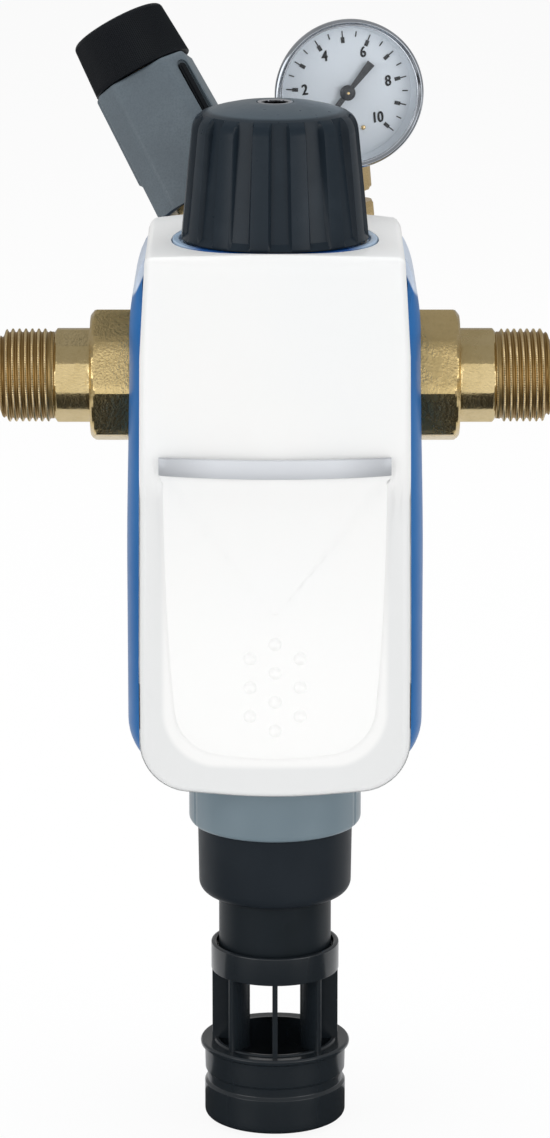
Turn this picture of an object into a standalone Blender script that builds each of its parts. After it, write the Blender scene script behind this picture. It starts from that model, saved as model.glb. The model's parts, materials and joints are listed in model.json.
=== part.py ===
"""A domestic water station: a self cleaning filter with a pressure reducer and a gauge, for a one inch pipe.

X runs along the pipe, Z is up and the front faces -Y. The origin is the middle of the pipe's axis.
"""

import math

import bmesh
import bpy
from mathutils import Matrix, Vector

MM = 0.001
GAP = 0.3 * MM
TURN_STEPS = 16
WIDE_STEPS = 32

# Filter module, turned about its own upright axis in front of the pipe
FILTER_Y = -45.0 * MM
KNOB_SKIRT_RADIUS = 32.4 * MM
KNOB_SHOULDER_RADIUS = 28.7 * MM
KNOB_TOP_RADIUS = 21.9 * MM
KNOB_BOTTOM_Z = 58.7 * MM
KNOB_SHOULDER_Z = 99.6 * MM
KNOB_TOP_Z = 106.1 * MM
KNOB_CROWN = 3.1 * MM
KNOB_WALL = 2.4 * MM
KNOB_FLUTES = 16
FLUTE_DEPTH = 1.5 * MM
KNOB_HOLE_RADIUS = 5.9 * MM
KNOB_HOLE_DEPTH = 4.0 * MM
KNOB_HUB_RADIUS = 9.0 * MM
SPINDLE_RADIUS = 5.0 * MM
SPINDLE_TOP_Z = 94.0 * MM
SPINDLE_BOTTOM_Z = -8.0 * MM
BONNET_RADIUS = 12.0 * MM
BONNET_HEX_RADIUS = 15.0 * MM
HEAD_RADIUS = 34.0 * MM
HEAD_NECK_RADIUS = 22.0 * MM
HEAD_FLANGE_RADIUS = 30.0 * MM
HEAD_TOP_Z = 54.2 * MM
HEAD_BODY_RADIUS = 27.0 * MM
HEAD_CAVITY_RADIUS = 19.0 * MM
HEAD_SKIRT_TOP_Z = -27.0 * MM
HEAD_BOTTOM_Z = -46.0 * MM
BOWL_TOP_Z = -32.3 * MM
SEAT_RING_TOP_Z = 56.3 * MM
SEAT_RING_BORE = 27.0 * MM
BOWL_RADIUS = 30.5 * MM
BOWL_WALL = 3.0 * MM
BOWL_NECK_RADIUS = 27.6 * MM
BOWL_NECK_Z = -118.0 * MM
BOWL_BOTTOM_Z = -147.0 * MM
COLLAR_RADIUS = 30.8 * MM
COLLAR_BOTTOM_Z = -150.8 * MM
COLLAR_ROUND = 2.4 * MM
SIEVE_RADIUS = 23.6 * MM
SIEVE_WALL = 1.6 * MM
SIEVE_BOTTOM_Z = -126.0 * MM
SIEVE_WINDOWS = 6
SIEVE_ROWS = 3
MESH_THICKNESS = 0.4 * MM
ROTOR_RADIUS = 6.0 * MM
ROTOR_BORE = 3.4 * MM
ROTOR_BOTTOM_Z = -134.0 * MM
NOZZLES = 5
NOZZLE_RADIUS = 3.2 * MM
VALVE_SEAT_RADIUS = 11.7 * MM
VALVE_BORE = 7.5 * MM
VALVE_LIFT = 6.0 * MM
PLUG_THICKNESS = 3.2 * MM
PLUG_STEM_RADIUS = 3.0 * MM
CUP_RADIUS = 27.5 * MM
CUP_WALL = 2.5 * MM
CUP_BOTTOM_Z = -176.6 * MM
PIPE_RADIUS = 20.0 * MM
PIPE_WALL = 2.0 * MM
FUNNEL_RING_RADIUS = 22.6 * MM
FUNNEL_TOP_Z = -198.0 * MM
WINDOW_TOP_Z = -207.0 * MM
WINDOW_BOTTOM_Z = -233.5 * MM
FUNNEL_FINS = 8
FIN_THICKNESS = 1.9 * MM
FIN_INNER_RADIUS = 13.5 * MM
FLANGE_RADIUS = 26.7 * MM
FLANGE_THICKNESS = 1.9 * MM
SPIGOT_RADIUS = 25.2 * MM
SPIGOT_WALL = 2.4 * MM
SPIGOT_GROOVE_Z = -245.0 * MM
SPIGOT_GROOVE_HEIGHT = 4.2 * MM
SPIGOT_GROOVE_DEPTH = 0.75 * MM
FUNNEL_BOTTOM_Z = -262.2 * MM

# Front cover
OPENING_RADIUS = 35.9 * MM
COVER_WALL = 2.2 * MM
COVER_TOP_Z = 58.6 * MM
COVER_TOP_DROP = 2.2 * MM
COVER_TOP_HALF = 44.4 * MM
COVER_TOP_CORNER = 2.7 * MM
COVER_UPPER_HALF = COVER_TOP_HALF + 1.8 * MM
COVER_LOWER_HALF = COVER_UPPER_HALF + 0.8 * MM
COVER_BOTTOM_Z = -131.0 * MM
COVER_BOTTOM_RISE = 2.4 * MM
COVER_BOW_RADIUS = 300 * MM
COVER_CORNER_RADIUS = 17.0 * MM
COVER_EDGE_RADIUS = 2.5 * MM
COVER_BACK_Y = -52.0 * MM
COVER_TOP_BACK_Y = 1.0 * MM
COVER_SWEEP_Z = 22.0 * MM
COVER_SWEEP_TOP_Z = 53.4 * MM
SWEEP_STEPS = 5
COVER_BACK_CORNER = 17.0 * MM
COVER_BACK_RISE = 2.0 * MM
FACE_TOP_Y = -84.0 * MM
FACE_SLOPE = 0.0917
FACE_CURVE = 0.229
FACE_BULGE = 5.7 * MM
BORDER_DROP = 2.6 * MM
PANEL_TOP_HALF = COVER_LOWER_HALF - 7.8 * MM
PANEL_LOW_HALF = PANEL_TOP_HALF - 2.4 * MM
PANEL_TOP_Z = -14.0 * MM
PANEL_LOW_Z = -85.0 * MM
PANEL_BOTTOM_Z = -117.4 * MM
PANEL_BOW_RADIUS = 300 * MM
PANEL_LOW_BOW_RADIUS = 150 * MM
PANEL_CORNER_RADIUS = 17.0 * MM
PANEL_STEP = 0.7 * MM
BAR_HALF = PANEL_TOP_HALF + 0.5 * MM
BAR_Z = -14.1 * MM
BAR_HEIGHT = 6.2 * MM
BAR_BOW = 0.5 * MM
BAR_THICKNESS = 1.3 * MM
DIMPLE_RADIUS = 2.3 * MM
DIMPLE_DEPTH = 0.8 * MM
DIMPLE_TOP_Z = -75.1 * MM
DIMPLE_PITCH = 10.2 * MM
DIMPLE_COLUMN_X = 8.7 * MM

# Rear shell
SHELL_TOP_Z = 48.5 * MM
SHELL_TOP_HALF = COVER_TOP_HALF + 0.4 * MM
SHELL_TOP_CORNER = 8.0 * MM
SHELL_SHOULDER_HALF = SHELL_TOP_HALF + 6.1 * MM
SHELL_HALF = SHELL_SHOULDER_HALF + 1.3 * MM
SHELL_BOTTOM_Z = -136.0 * MM
SHELL_CORNER_RADIUS = 26.0 * MM
SHELL_FLARE = 16.0 * MM
SHELL_BACK_Y = 34.0 * MM
SHELL_BACK_RADIUS = 5.5 * MM
SHELL_WALL = 2.2 * MM
SHELL_TOP_CLEARANCE = 3.0 * MM
NUT_OPENING_RADIUS = 25.2 * MM

# Pipe connection
PIPE_BODY_RADIUS = 16.2 * MM
PIPE_BORE = 12.7 * MM
BODY_END_X = 54.3 * MM
BODY_THREAD_RADIUS = 20.9 * MM
BODY_THREAD_LENGTH = 12.0 * MM
BODY_WEB_HALF = 5.0 * MM
MODULE_FLANGE_HALF_X = 31.0 * MM
MODULE_FLANGE_HALF_Z = 22.0 * MM
MODULE_FLANGE_CORNER = 7.0 * MM
MODULE_NECK_RADIUS = 19.0 * MM
MODULE_FLANGE_Y = -20.0 * MM
MODULE_FLANGE_THICKNESS = 6.0 * MM
MODULE_PORT_RADIUS = 6.5 * MM
MODULE_PORT_X = 10.5 * MM
GASKET_THICKNESS = 1.2 * MM
BOLT_X = 25.5 * MM
BOLT_Z = 16.5 * MM
BOLT_RADIUS = 2.4 * MM
BOLT_HEAD_RADIUS = 4.0 * MM
BOLT_HEAD = 3.5 * MM
NUT_CORNER_RADIUS = 24.5 * MM
NUT_INNER_X = 43.0 * MM
NUT_OUTER_X = 65.7 * MM
NUT_LIP = 4.2 * MM
NUT_CHAMFER = 1.6 * MM
NUT_TURN = math.radians(-4.7)
TAIL_THREAD_RADIUS = 16.62 * MM
TAIL_TURNED_RADIUS = 16.8 * MM
TAIL_HEX_FLATS = 32.0 * MM
TAIL_HEX_TURN = math.radians(7)
TAIL_HEX_X = 66.3 * MM
TAIL_THREAD_X = 78.6 * MM
TAIL_END_X = 98.1 * MM
TAIL_FLANGE = 4.3 * MM
THREAD_CHAMFER = 1.2 * MM
CHECK_CAGE_RADIUS = 12.4 * MM
CHECK_CAGE_X = 24.0 * MM
CHECK_CAGE_LENGTH = 22.0 * MM
CHECK_TRAVEL = 5.0 * MM
POPPET_RADIUS = 8.5 * MM

# Pressure reducer, turned about an axis that leans to the left and to the back
REDUCER_X = 10.5 * MM
REDUCER_LEFT = math.radians(29.3)
REDUCER_BACK = math.radians(16.0)
BOSS_RADIUS = 15.5 * MM
BOSS_TOP = 35.0 * MM
BOSS_BORE = 11.0 * MM
BOSS_BORE_FLOOR = 12.0 * MM
REDUCER_BODY_RADIUS = 12.6 * MM
REDUCER_FLANGE_RADIUS = 16.5 * MM
REDUCER_BODY_TOP = 77.0 * MM
HOOD_BOTTOM = 72.5 * MM
REDUCER_FLANGE = 4.0 * MM
REDUCER_SOCKET = 9.0 * MM
REDUCER_SEAT_BORE = 6.0 * MM
REDUCER_STEM_RADIUS = 2.2 * MM
REDUCER_STROKE = 1.5 * MM
DIAPHRAGM_THICKNESS = 1.4 * MM
HOOD_TOP = 122.4 * MM
HOOD_BOTTOM_HALF = 20.0 * MM
HOOD_TOP_HALF = 18.9 * MM
HOOD_BORE = 14.5 * MM
HOOD_CORNER = 7.0 * MM
HOOD_STEP = 87.0 * MM
HOOD_RIB = 1.5 * MM
HOOD_RIB_WIDTH = 12.0 * MM
HOOD_SLOT_WIDTH = 5.0 * MM
HOOD_SLOT_BOTTOM = 91.0 * MM
HOOD_SLOT_TOP = 114.0 * MM
HOOD_SLOT_DEPTH = 1.4 * MM
GRIP_BOTTOM_RADIUS = 18.9 * MM
GRIP_TOP_RADIUS = 17.6 * MM
GRIP_TOP = 143.2 * MM
GRIP_ROUND = 1.6 * MM
GRIP_WALL = 2.5 * MM
SCREW_RADIUS = 3.5 * MM
SCREW_BOTTOM = 98.0 * MM
SPRING_RADIUS = 10.0 * MM
SPRING_WIRE = 1.4 * MM
SPRING_TURNS = 5
SPRING_PLATE_RADIUS = 13.5 * MM
SPRING_PLATE = 2.4 * MM
SPRING_PLATE_AT = 106.0 * MM

# Gauge: its own frame has Z out of the dial, X to its right and Y up along its stem
GAUGE_X = 25.5 * MM
GAUGE_Y = 9.0 * MM
GAUGE_Z = 100.3 * MM
GAUGE_YAW = math.radians(9)
GAUGE_ROLL = math.radians(5)
CASE_RADIUS = 26.0 * MM
CASE_BACK = -15.0 * MM
CASE_FRONT = 3.4 * MM
CASE_WALL = 0.9 * MM
BEZEL_RADIUS = 26.6 * MM
BEZEL_FRONT = 6.4 * MM
BEZEL_BORE = 24.2 * MM
WINDOW_THICKNESS = 1.2 * MM
DIAL_THICKNESS = 0.7 * MM
CASE_HOLE_START = 8.0 * MM
CASE_HOLE_LENGTH = 30.0 * MM
POINTER_HEIGHT = 1.6 * MM
POINTER_THICKNESS = 0.5 * MM
POINTER_LENGTH = 13.5 * MM
POINTER_TAIL = 8.0 * MM
POINTER_HUB = 2.85 * MM
POINTER_TIP_HALF = 1.4 * MM
POINTER_TAIL_HALF = 0.95 * MM
POINTER_SHOWN = math.radians(43.7)
PINION_RADIUS = 1.3 * MM
PINION_TEETH = 8
SECTOR_RADIUS = 11.2 * MM
SECTOR_TEETH = 9
SECTOR_SPAN = math.radians(60)
MOVEMENT_GAP = 3.4 * MM
PLATE_THICKNESS = 0.8 * MM
BOURDON_RADIUS = 19.0 * MM
BOURDON_TUBE = 1.6 * MM
STEM_DEPTH = -7.5 * MM
SHANK_FLATS = 11.0 * MM
SHANK_BOTTOM = -36.5 * MM
BLOCK_FLATS = 14.0 * MM
BLOCK_TOP = -40.2 * MM
BLOCK_HEIGHT = 6.4 * MM
GAUGE_PIPE_RADIUS = 4.6 * MM
GAUGE_BORE = 1.6 * MM
GAUGE_BOSS_RADIUS = 8.0 * MM
GAUGE_BOSS_TOP = -75.0 * MM
GAUGE_BOSS_LENGTH = 17.0 * MM
GAUGE_PIPE_BOTTOM = -86.0 * MM
WELL_BREAKTHROUGH = 8.0 * MM

# Name: red, green, blue as seen, roughness, metallic
FINISHES = {
    "white_plastic": (244, 244, 243, 0.32, 0.0),
    "blue_plastic": (50, 108, 168, 0.3, 0.0),
    "silver_trim": (206, 210, 214, 0.28, 0.6),
    "anthracite_plastic": (40, 47, 54, 0.36, 0.0),
    "black_plastic": (32, 33, 36, 0.45, 0.0),
    "grey_plastic": (104, 117, 126, 0.45, 0.0),
    "collar_grey": (130, 145, 155, 0.4, 0.0),
    "brass": (170, 146, 98, 0.34, 1.0),
    "steel": (190, 192, 194, 0.3, 1.0),
    "rubber": (28, 28, 28, 0.8, 0.0),
    "clear_plastic": (205, 216, 220, 0.1, 0.0),
    "dial_white": (236, 238, 240, 0.5, 0.0),
    "pointer_black": (22, 22, 24, 0.5, 0.0),
}


def linear(value):
    share = value / 255
    return share / 12.92 if share <= 0.04045 else ((share + 0.055) / 1.055) ** 2.4


def material(name):
    """The Principled material of this name, made the first time it is asked for."""
    found = bpy.data.materials.get(name)
    if found:
        return found
    red, green, blue, roughness, metallic = FINISHES[name]
    found = bpy.data.materials.new(name)
    found.use_nodes = True
    shader = found.node_tree.nodes["Principled BSDF"]
    shader.inputs["Base Color"].default_value = (linear(red), linear(green), linear(blue), 1)
    shader.inputs["Roughness"].default_value = roughness
    shader.inputs["Metallic"].default_value = metallic
    return found


def finished(name, shape, finish, parent=None):
    """Turns a bmesh into a named object in the scene."""
    bmesh.ops.recalc_face_normals(shape, faces=shape.faces)
    mesh = bpy.data.meshes.new(name)
    shape.to_mesh(mesh)
    shape.free()
    mesh.materials.append(material(finish))
    mesh.shade_smooth()
    mesh.set_sharp_from_angle(angle=math.radians(32))
    result = bpy.data.objects.new(name, mesh)
    result.parent = parent
    bpy.context.scene.collection.objects.link(result)
    return result


def turned(name, outline, finish, steps=TURN_STEPS, parent=None):
    """Spins (radius, height) points round Z. An outline that leaves the axis alone is closed into a ring."""
    shape = bmesh.new()
    points = [shape.verts.new((radius, 0, height)) for radius, height in outline]
    pairs = list(zip(points, points[1:]))
    if outline[0][0] > 0:
        pairs.append((points[-1], points[0]))
    edges = [shape.edges.new(pair) for pair in pairs]
    bmesh.ops.spin(
        shape, geom=points + edges, cent=(0, 0, 0), axis=(0, 0, 1), angle=math.tau, steps=steps, use_merge=True
    )
    bmesh.ops.remove_doubles(shape, verts=shape.verts, dist=1e-6)
    return finished(name, shape, finish, parent)


def lofted(name, rings, finish, closed=False, parent=None):
    """Skins rings of points in order. The ends are capped, or the last ring is joined to the first."""
    shape = bmesh.new()
    loops = [[shape.verts.new(point) for point in ring] for ring in rings]
    following = loops[1:] + loops[:1] if closed else loops[1:]
    for near, far in zip(loops, following):
        count = len(near)
        for i in range(count):
            j = (i + 1) % count
            shape.faces.new((near[i], near[j], far[j], far[i]))
    if not closed:
        shape.faces.new(loops[0])
        shape.faces.new(loops[-1])
    return finished(name, shape, finish, parent)


def prism(name, outline, bottom, top, finish, parent=None):
    """Extrudes a flat (x, y) outline along Z."""
    shape = bmesh.new()
    base = shape.faces.new([shape.verts.new((x, y, bottom)) for x, y in outline])
    grown = bmesh.ops.extrude_face_region(shape, geom=[base])
    lifted = [item for item in grown["geom"] if isinstance(item, bmesh.types.BMVert)]
    bmesh.ops.translate(shape, verts=lifted, vec=(0, 0, top - bottom))
    return finished(name, shape, finish, parent)


def tool(result):
    """Marks an object as a helper that only shapes other pieces."""
    result.hide_render = True
    result.display_type = "WIRE"
    return result


def shape_with(target, helper, operation="DIFFERENCE"):
    step = target.modifiers.new(helper.name, "BOOLEAN")
    step.operation = operation
    step.object = tool(helper)


def circle(radius, height, steps=TURN_STEPS, inset=None):
    """Points round Z. inset(angle) is taken off the radius."""
    angles = [math.tau * i / steps for i in range(steps)]
    reach = [radius - (inset(angle) if inset else 0) for angle in angles]
    return [(r * math.cos(a), r * math.sin(a), height) for r, a in zip(reach, angles)]


def polygon(sides, flats, turn=0.0):
    """Corners of a regular polygon with this width across its flats."""
    corner = flats / 2 / math.cos(math.pi / sides)
    return [
        (corner * math.cos(turn + math.tau * i / sides), corner * math.sin(turn + math.tau * i / sides))
        for i in range(sides)
    ]


def rounded(corners, steps=5):
    """An outline through (x, z, radius) corners, each rounded by an arc."""
    points = []
    count = len(corners)
    for i in range(count):
        here = Vector(corners[i][:2])
        before = (Vector(corners[i - 1][:2]) - here).normalized()
        after = (Vector(corners[(i + 1) % count][:2]) - here).normalized()
        radius = corners[i][2]
        if radius == 0:
            points.append(here)
            continue
        half = before.angle(after) / 2
        middle = here + (before + after).normalized() * radius / math.sin(half)
        start = here + before * radius / math.tan(half) - middle
        sweep = start.angle_signed(here + after * radius / math.tan(half) - middle)
        for k in range(steps + 1):
            points.append(middle + Matrix.Rotation(-sweep * k / steps, 2) @ start)
    return points


def inset(points, distance):
    """Moves a closed outline inwards by this distance."""
    moved = []
    count = len(points)
    area = sum(points[i - 1].cross(points[i]) for i in range(count))
    side = 1 if area > 0 else -1
    for i, here in enumerate(points):
        first = (here - points[i - 1]).normalized()
        second = (points[(i + 1) % count] - here).normalized()
        normal = Vector((-first.y - second.y, first.x + second.x)).normalized() * side
        across = Vector((-first.y, first.x)).normalized() * side
        moved.append(here + normal * distance / max(normal.dot(across), 0.5))
    return moved


def both_sides(right):
    """Adds the mirror image of the right half's corners, which run from the top to the bottom."""
    return right + [(-x, z, radius) for x, z, radius in reversed(right) if x > 0]


def smooth(value):
    share = min(max(value, 0), 1)
    return share * share * (3 - 2 * share)


def blend(first, second, share):
    return [a.lerp(b, share) for a, b in zip(first, second)]


def face_y(x, z):
    """How far forward the cover's front face lies at a place seen from the front."""
    down = COVER_TOP_Z - z
    centre = FACE_TOP_Y - FACE_SLOPE * down + FACE_CURVE * down * down
    return centre + FACE_BULGE * (x / COVER_LOWER_HALF) ** 2


def cover_outline():
    taper = (COVER_UPPER_HALF - COVER_TOP_HALF) / SWEEP_STEPS
    return rounded(both_sides([
        (0, COVER_TOP_Z, COVER_BOW_RADIUS),
        (COVER_TOP_HALF, COVER_TOP_Z - COVER_TOP_DROP, COVER_TOP_CORNER),
        *[(COVER_UPPER_HALF - taper * k, sweep_z(k), 0) for k in range(SWEEP_STEPS, -1, -1)],
        (COVER_LOWER_HALF, -70 * MM, 0),
        (COVER_LOWER_HALF - 0.3 * MM, COVER_BOTTOM_Z + COVER_BOTTOM_RISE, COVER_CORNER_RADIUS),
        (0, COVER_BOTTOM_Z, COVER_BOW_RADIUS),
    ]), 4)


def panel_outline():
    count = SWEEP_STEPS + 2
    return rounded(both_sides([
        (0, PANEL_TOP_Z + 0.3 * MM, PANEL_BOW_RADIUS),
        (PANEL_TOP_HALF, PANEL_TOP_Z, 2.5 * MM),
        *[(PANEL_TOP_HALF - (PANEL_TOP_HALF - PANEL_LOW_HALF) * (k / count) ** 2,
           PANEL_TOP_Z - (PANEL_TOP_Z - PANEL_LOW_Z) * k / count, 0) for k in range(1, count + 1)],
        (PANEL_LOW_HALF - 2.5 * MM, PANEL_BOTTOM_Z + 4 * MM, PANEL_CORNER_RADIUS),
        (0, PANEL_BOTTOM_Z - 0.6 * MM, PANEL_LOW_BOW_RADIUS),
    ]), 4)


def sweep_z(step):
    """The heights between which the parting line runs straight."""
    return COVER_SWEEP_Z + (COVER_SWEEP_TOP_Z - COVER_SWEEP_Z) * step / SWEEP_STEPS


def cover_back_y(x, z):
    """The parting line with the rear shell: far back under the top, then sweeping forward down the side."""
    corner = max(abs(x) - (COVER_TOP_HALF - COVER_BACK_CORNER), 0)
    top = COVER_TOP_BACK_Y - COVER_BACK_CORNER
    top += math.sqrt(max(COVER_BACK_CORNER ** 2 - corner ** 2, 0))
    steps = min(max((z - sweep_z(0)) / (sweep_z(1) - sweep_z(0)), 0), SWEEP_STEPS - 1e-6)
    whole = math.floor(steps)
    share = smooth(whole / SWEEP_STEPS)
    share += (smooth((whole + 1) / SWEEP_STEPS) - share) * (steps - whole)
    return COVER_BACK_Y + (top - COVER_BACK_Y) * share


def cover_ring(outline, forward, depth=0.0):
    """A ring of the cover between its back edge (forward 0) and its front face (forward 1)."""
    ring = []
    for point in outline:
        x, z = point
        back = cover_back_y(x, z)
        y = back + (face_y(x, z) + depth - back) * forward
        near_top = smooth((z - (COVER_TOP_Z - 8 * MM)) / (4 * MM))
        lift = COVER_BACK_RISE * near_top * max(y - FILTER_Y, 0) / (COVER_TOP_BACK_Y - FILTER_Y)
        ring.append((x, y, z + lift))
    return ring


def border(outline, share):
    """How far the border round the panel has dropped back, from the panel's edge to the cover's edge."""
    return [BORDER_DROP * share * (1 - smooth((p.y - PANEL_TOP_Z) / (14 * MM) + 1)) for p in outline]


def front_ring(outline, depth, drops=None):
    drops = drops or [0] * len(outline)
    return [(p.x, face_y(p.x, p.y) + depth + drop, p.y) for p, drop in zip(outline, drops)]


def make_front_cover():
    """The white moulding: a raised panel, a sloping border and a top with the opening for the knob."""
    edge = cover_outline()
    panel = panel_outline()
    middle = Vector((0, (PANEL_TOP_Z + PANEL_BOTTOM_Z) / 2))
    raised = inset(panel, PANEL_STEP)
    rings = []
    for share in (0.12, 0.4, 0.7, 0.9):
        rings.append(front_ring([middle + (p - middle) * share for p in raised], -PANEL_STEP))
    rings.append(front_ring(raised, -PANEL_STEP))
    rings.append(front_ring(panel, 0))
    rim = inset(edge, COVER_EDGE_RADIUS)
    for share in (0.25, 0.5, 0.75):
        rings.append(front_ring(blend(panel, rim, share), 0, border(panel, share)))
    for turn in (0, 30, 60, 90):
        angle = math.radians(turn)
        outline = inset(edge, COVER_EDGE_RADIUS * (1 - math.sin(angle)))
        rings.append(front_ring(outline, COVER_EDGE_RADIUS * (1 - math.cos(angle)), border(outline, 1)))
    for forward in (0.8, 0.6, 0.4, 0.2, 0):
        rings.append(cover_ring(edge, forward))
    inside = inset(edge, COVER_WALL)
    for forward in (0, 0.4, 0.8):
        rings.append(cover_ring(inside, forward))
    for share in (1, 0.6, 0.2):
        outline = blend([middle] * len(panel), inset(edge, COVER_WALL), share)
        rings.append(front_ring(outline, COVER_WALL, border(outline, share)))
    cover = lofted("front_cover", rings, "white_plastic")
    opening = turned("knob_opening_tool", [(0, 70 * MM), (OPENING_RADIUS, 70 * MM), (OPENING_RADIUS, 48 * MM),
                                           (0, 48 * MM)], "white_plastic", WIDE_STEPS)
    passage = turned("bowl_passage_tool", [(0, -110 * MM), (COLLAR_RADIUS + 0.8 * MM, -110 * MM),
                                           (COLLAR_RADIUS + 0.8 * MM, -150 * MM), (0, -150 * MM)],
                     "white_plastic", WIDE_STEPS)
    for helper in (opening, passage):
        helper.location.y = FILTER_Y
        shape_with(cover, helper)
    shape_with(cover, make_dimple_tool())
    return passage


def make_dimple_tool():
    """Balls that press ten dimples, in three columns, into the panel."""
    ball = (DIMPLE_RADIUS ** 2 + DIMPLE_DEPTH ** 2) / (2 * DIMPLE_DEPTH)
    places = [(0, DIMPLE_TOP_Z - DIMPLE_PITCH * i) for i in range(4)]
    for side in (-1, 1):
        places += [(side * DIMPLE_COLUMN_X, DIMPLE_TOP_Z - DIMPLE_PITCH * (i + 0.5)) for i in range(3)]
    shape = bmesh.new()
    for x, z in places:
        y = face_y(x, z) - PANEL_STEP - ball + DIMPLE_DEPTH
        bmesh.ops.create_icosphere(shape, subdivisions=2, radius=ball, matrix=Matrix.Translation((x, y, z)))
    return finished("dimple_tool", shape, "white_plastic")


def make_trim_bar():
    """A slim silver bar across the cover, which follows the curve of the front face."""
    rings = []
    stations = 14
    for i in range(stations + 1):
        x = BAR_HALF * (2 * i / stations - 1)
        low = BAR_Z - BAR_HEIGHT / 2 - BAR_BOW * (1 - (x / BAR_HALF) ** 2)
        high = BAR_Z + BAR_HEIGHT / 2
        y = face_y(x, BAR_Z) - PANEL_STEP - GAP * 1.5
        front = y - BAR_THICKNESS
        bevel = BAR_THICKNESS / 2
        rings.append([(x, y, low), (x, y, high), (x, y - bevel, high), (x, front, high - bevel),
                      (x, front, low + bevel), (x, y - bevel, low)])
    lofted("trim_bar", rings, "silver_trim")


def shell_outline():
    """The tub seen from the front: sloping shoulders, nearly straight sides and large lower corners."""
    slope = SHELL_SHOULDER_HALF - SHELL_TOP_HALF
    drop = SHELL_TOP_Z - COVER_SWEEP_Z
    return rounded(both_sides([
        (SHELL_TOP_HALF, SHELL_TOP_Z, SHELL_TOP_CORNER),
        *[(SHELL_SHOULDER_HALF - slope * ((sweep_z(k) - COVER_SWEEP_Z) / drop) ** 2.4, sweep_z(k), 0)
          for k in (3, 2, 1, 0)],
        (SHELL_HALF, -60 * MM, 0),
        (SHELL_HALF, SHELL_BOTTOM_Z, SHELL_CORNER_RADIUS),
    ]), 5)


def shell_ring(outline, wall, flare, behind):
    """A ring this far behind the parting line. The flare, which draws it in, dies out towards the top."""
    ring = []
    for p, plain, drawn in zip(outline, inset(outline, wall), inset(outline, wall + flare)):
        share = 1 - smooth((p.y - sweep_z(1)) / (sweep_z(3) - sweep_z(1)))
        x, z = plain.lerp(drawn, share)
        gap = GAP + SHELL_TOP_CLEARANCE * (1 - share)
        ring.append((x, cover_back_y(p.x, p.y) + gap + behind, z))
    return ring


def make_rear_shell(passage, reducer, gauge):
    """The blue tub: it flares from the cover's edge, wraps the sides and the back, and the nuts pass its sides."""
    edge = shell_outline()
    rings = [[(p.x, SHELL_BACK_Y - SHELL_WALL, p.y) for p in inset(edge, SHELL_BACK_RADIUS + SHELL_WALL)]]
    inner = SHELL_BACK_RADIUS - SHELL_WALL
    flare = SHELL_HALF - COVER_LOWER_HALF
    for turn in (90, 45, 0):
        angle = math.radians(turn)
        rings.append([(p.x, SHELL_BACK_Y - SHELL_BACK_RADIUS + inner * math.sin(angle), p.y)
                      for p in inset(edge, SHELL_WALL + inner * (1 - math.cos(angle)))])
    rings.append(shell_ring(edge, SHELL_WALL, 0, SHELL_FLARE))
    rings.append(shell_ring(edge, SHELL_WALL, flare, 0))
    for turn in (0, 30, 60, 90):
        angle = math.radians(turn)
        rings.append(shell_ring(edge, 0, flare * (1 - math.sin(angle)), SHELL_FLARE * (1 - math.cos(angle))))
    for turn in (0, 30, 60, 90):
        angle = math.radians(turn)
        y = SHELL_BACK_Y - SHELL_BACK_RADIUS * (1 - math.sin(angle))
        rings.append([(p.x, y, p.y) for p in inset(edge, SHELL_BACK_RADIUS * (1 - math.cos(angle)))])
    shell = lofted("rear_shell", rings, "blue_plastic")
    shape_with(shell, passage)
    for side in (-1, 1):
        hole = turned("nut_opening_tool", [(0, 60 * MM), (NUT_OPENING_RADIUS, 60 * MM),
                                           (NUT_OPENING_RADIUS, 44 * MM), (0, 44 * MM)], "blue_plastic", WIDE_STEPS)
        hole.rotation_euler.y = side * math.pi / 2
        shape_with(shell, hole)
    reach = REDUCER_BODY_RADIUS + 0.6 * MM
    tilted = turned("reducer_opening_tool", [(0, HOOD_BOTTOM), (reach, HOOD_BOTTOM), (reach, BOSS_TOP), (0, BOSS_TOP)],
                    "blue_plastic", TURN_STEPS, reducer)
    shape_with(shell, tilted)
    reach = GAUGE_PIPE_RADIUS + 0.6 * MM
    upright = turned("gauge_opening_tool", [(0, 20 * MM), (reach, 20 * MM), (reach, 0), (0, 0)],
                     "blue_plastic", TURN_STEPS, gauge)
    upright.location = (0, BLOCK_TOP - BLOCK_HEIGHT - 2 * MM, STEM_DEPTH)
    upright.rotation_euler.x = math.pi / 2
    shape_with(shell, upright)


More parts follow.
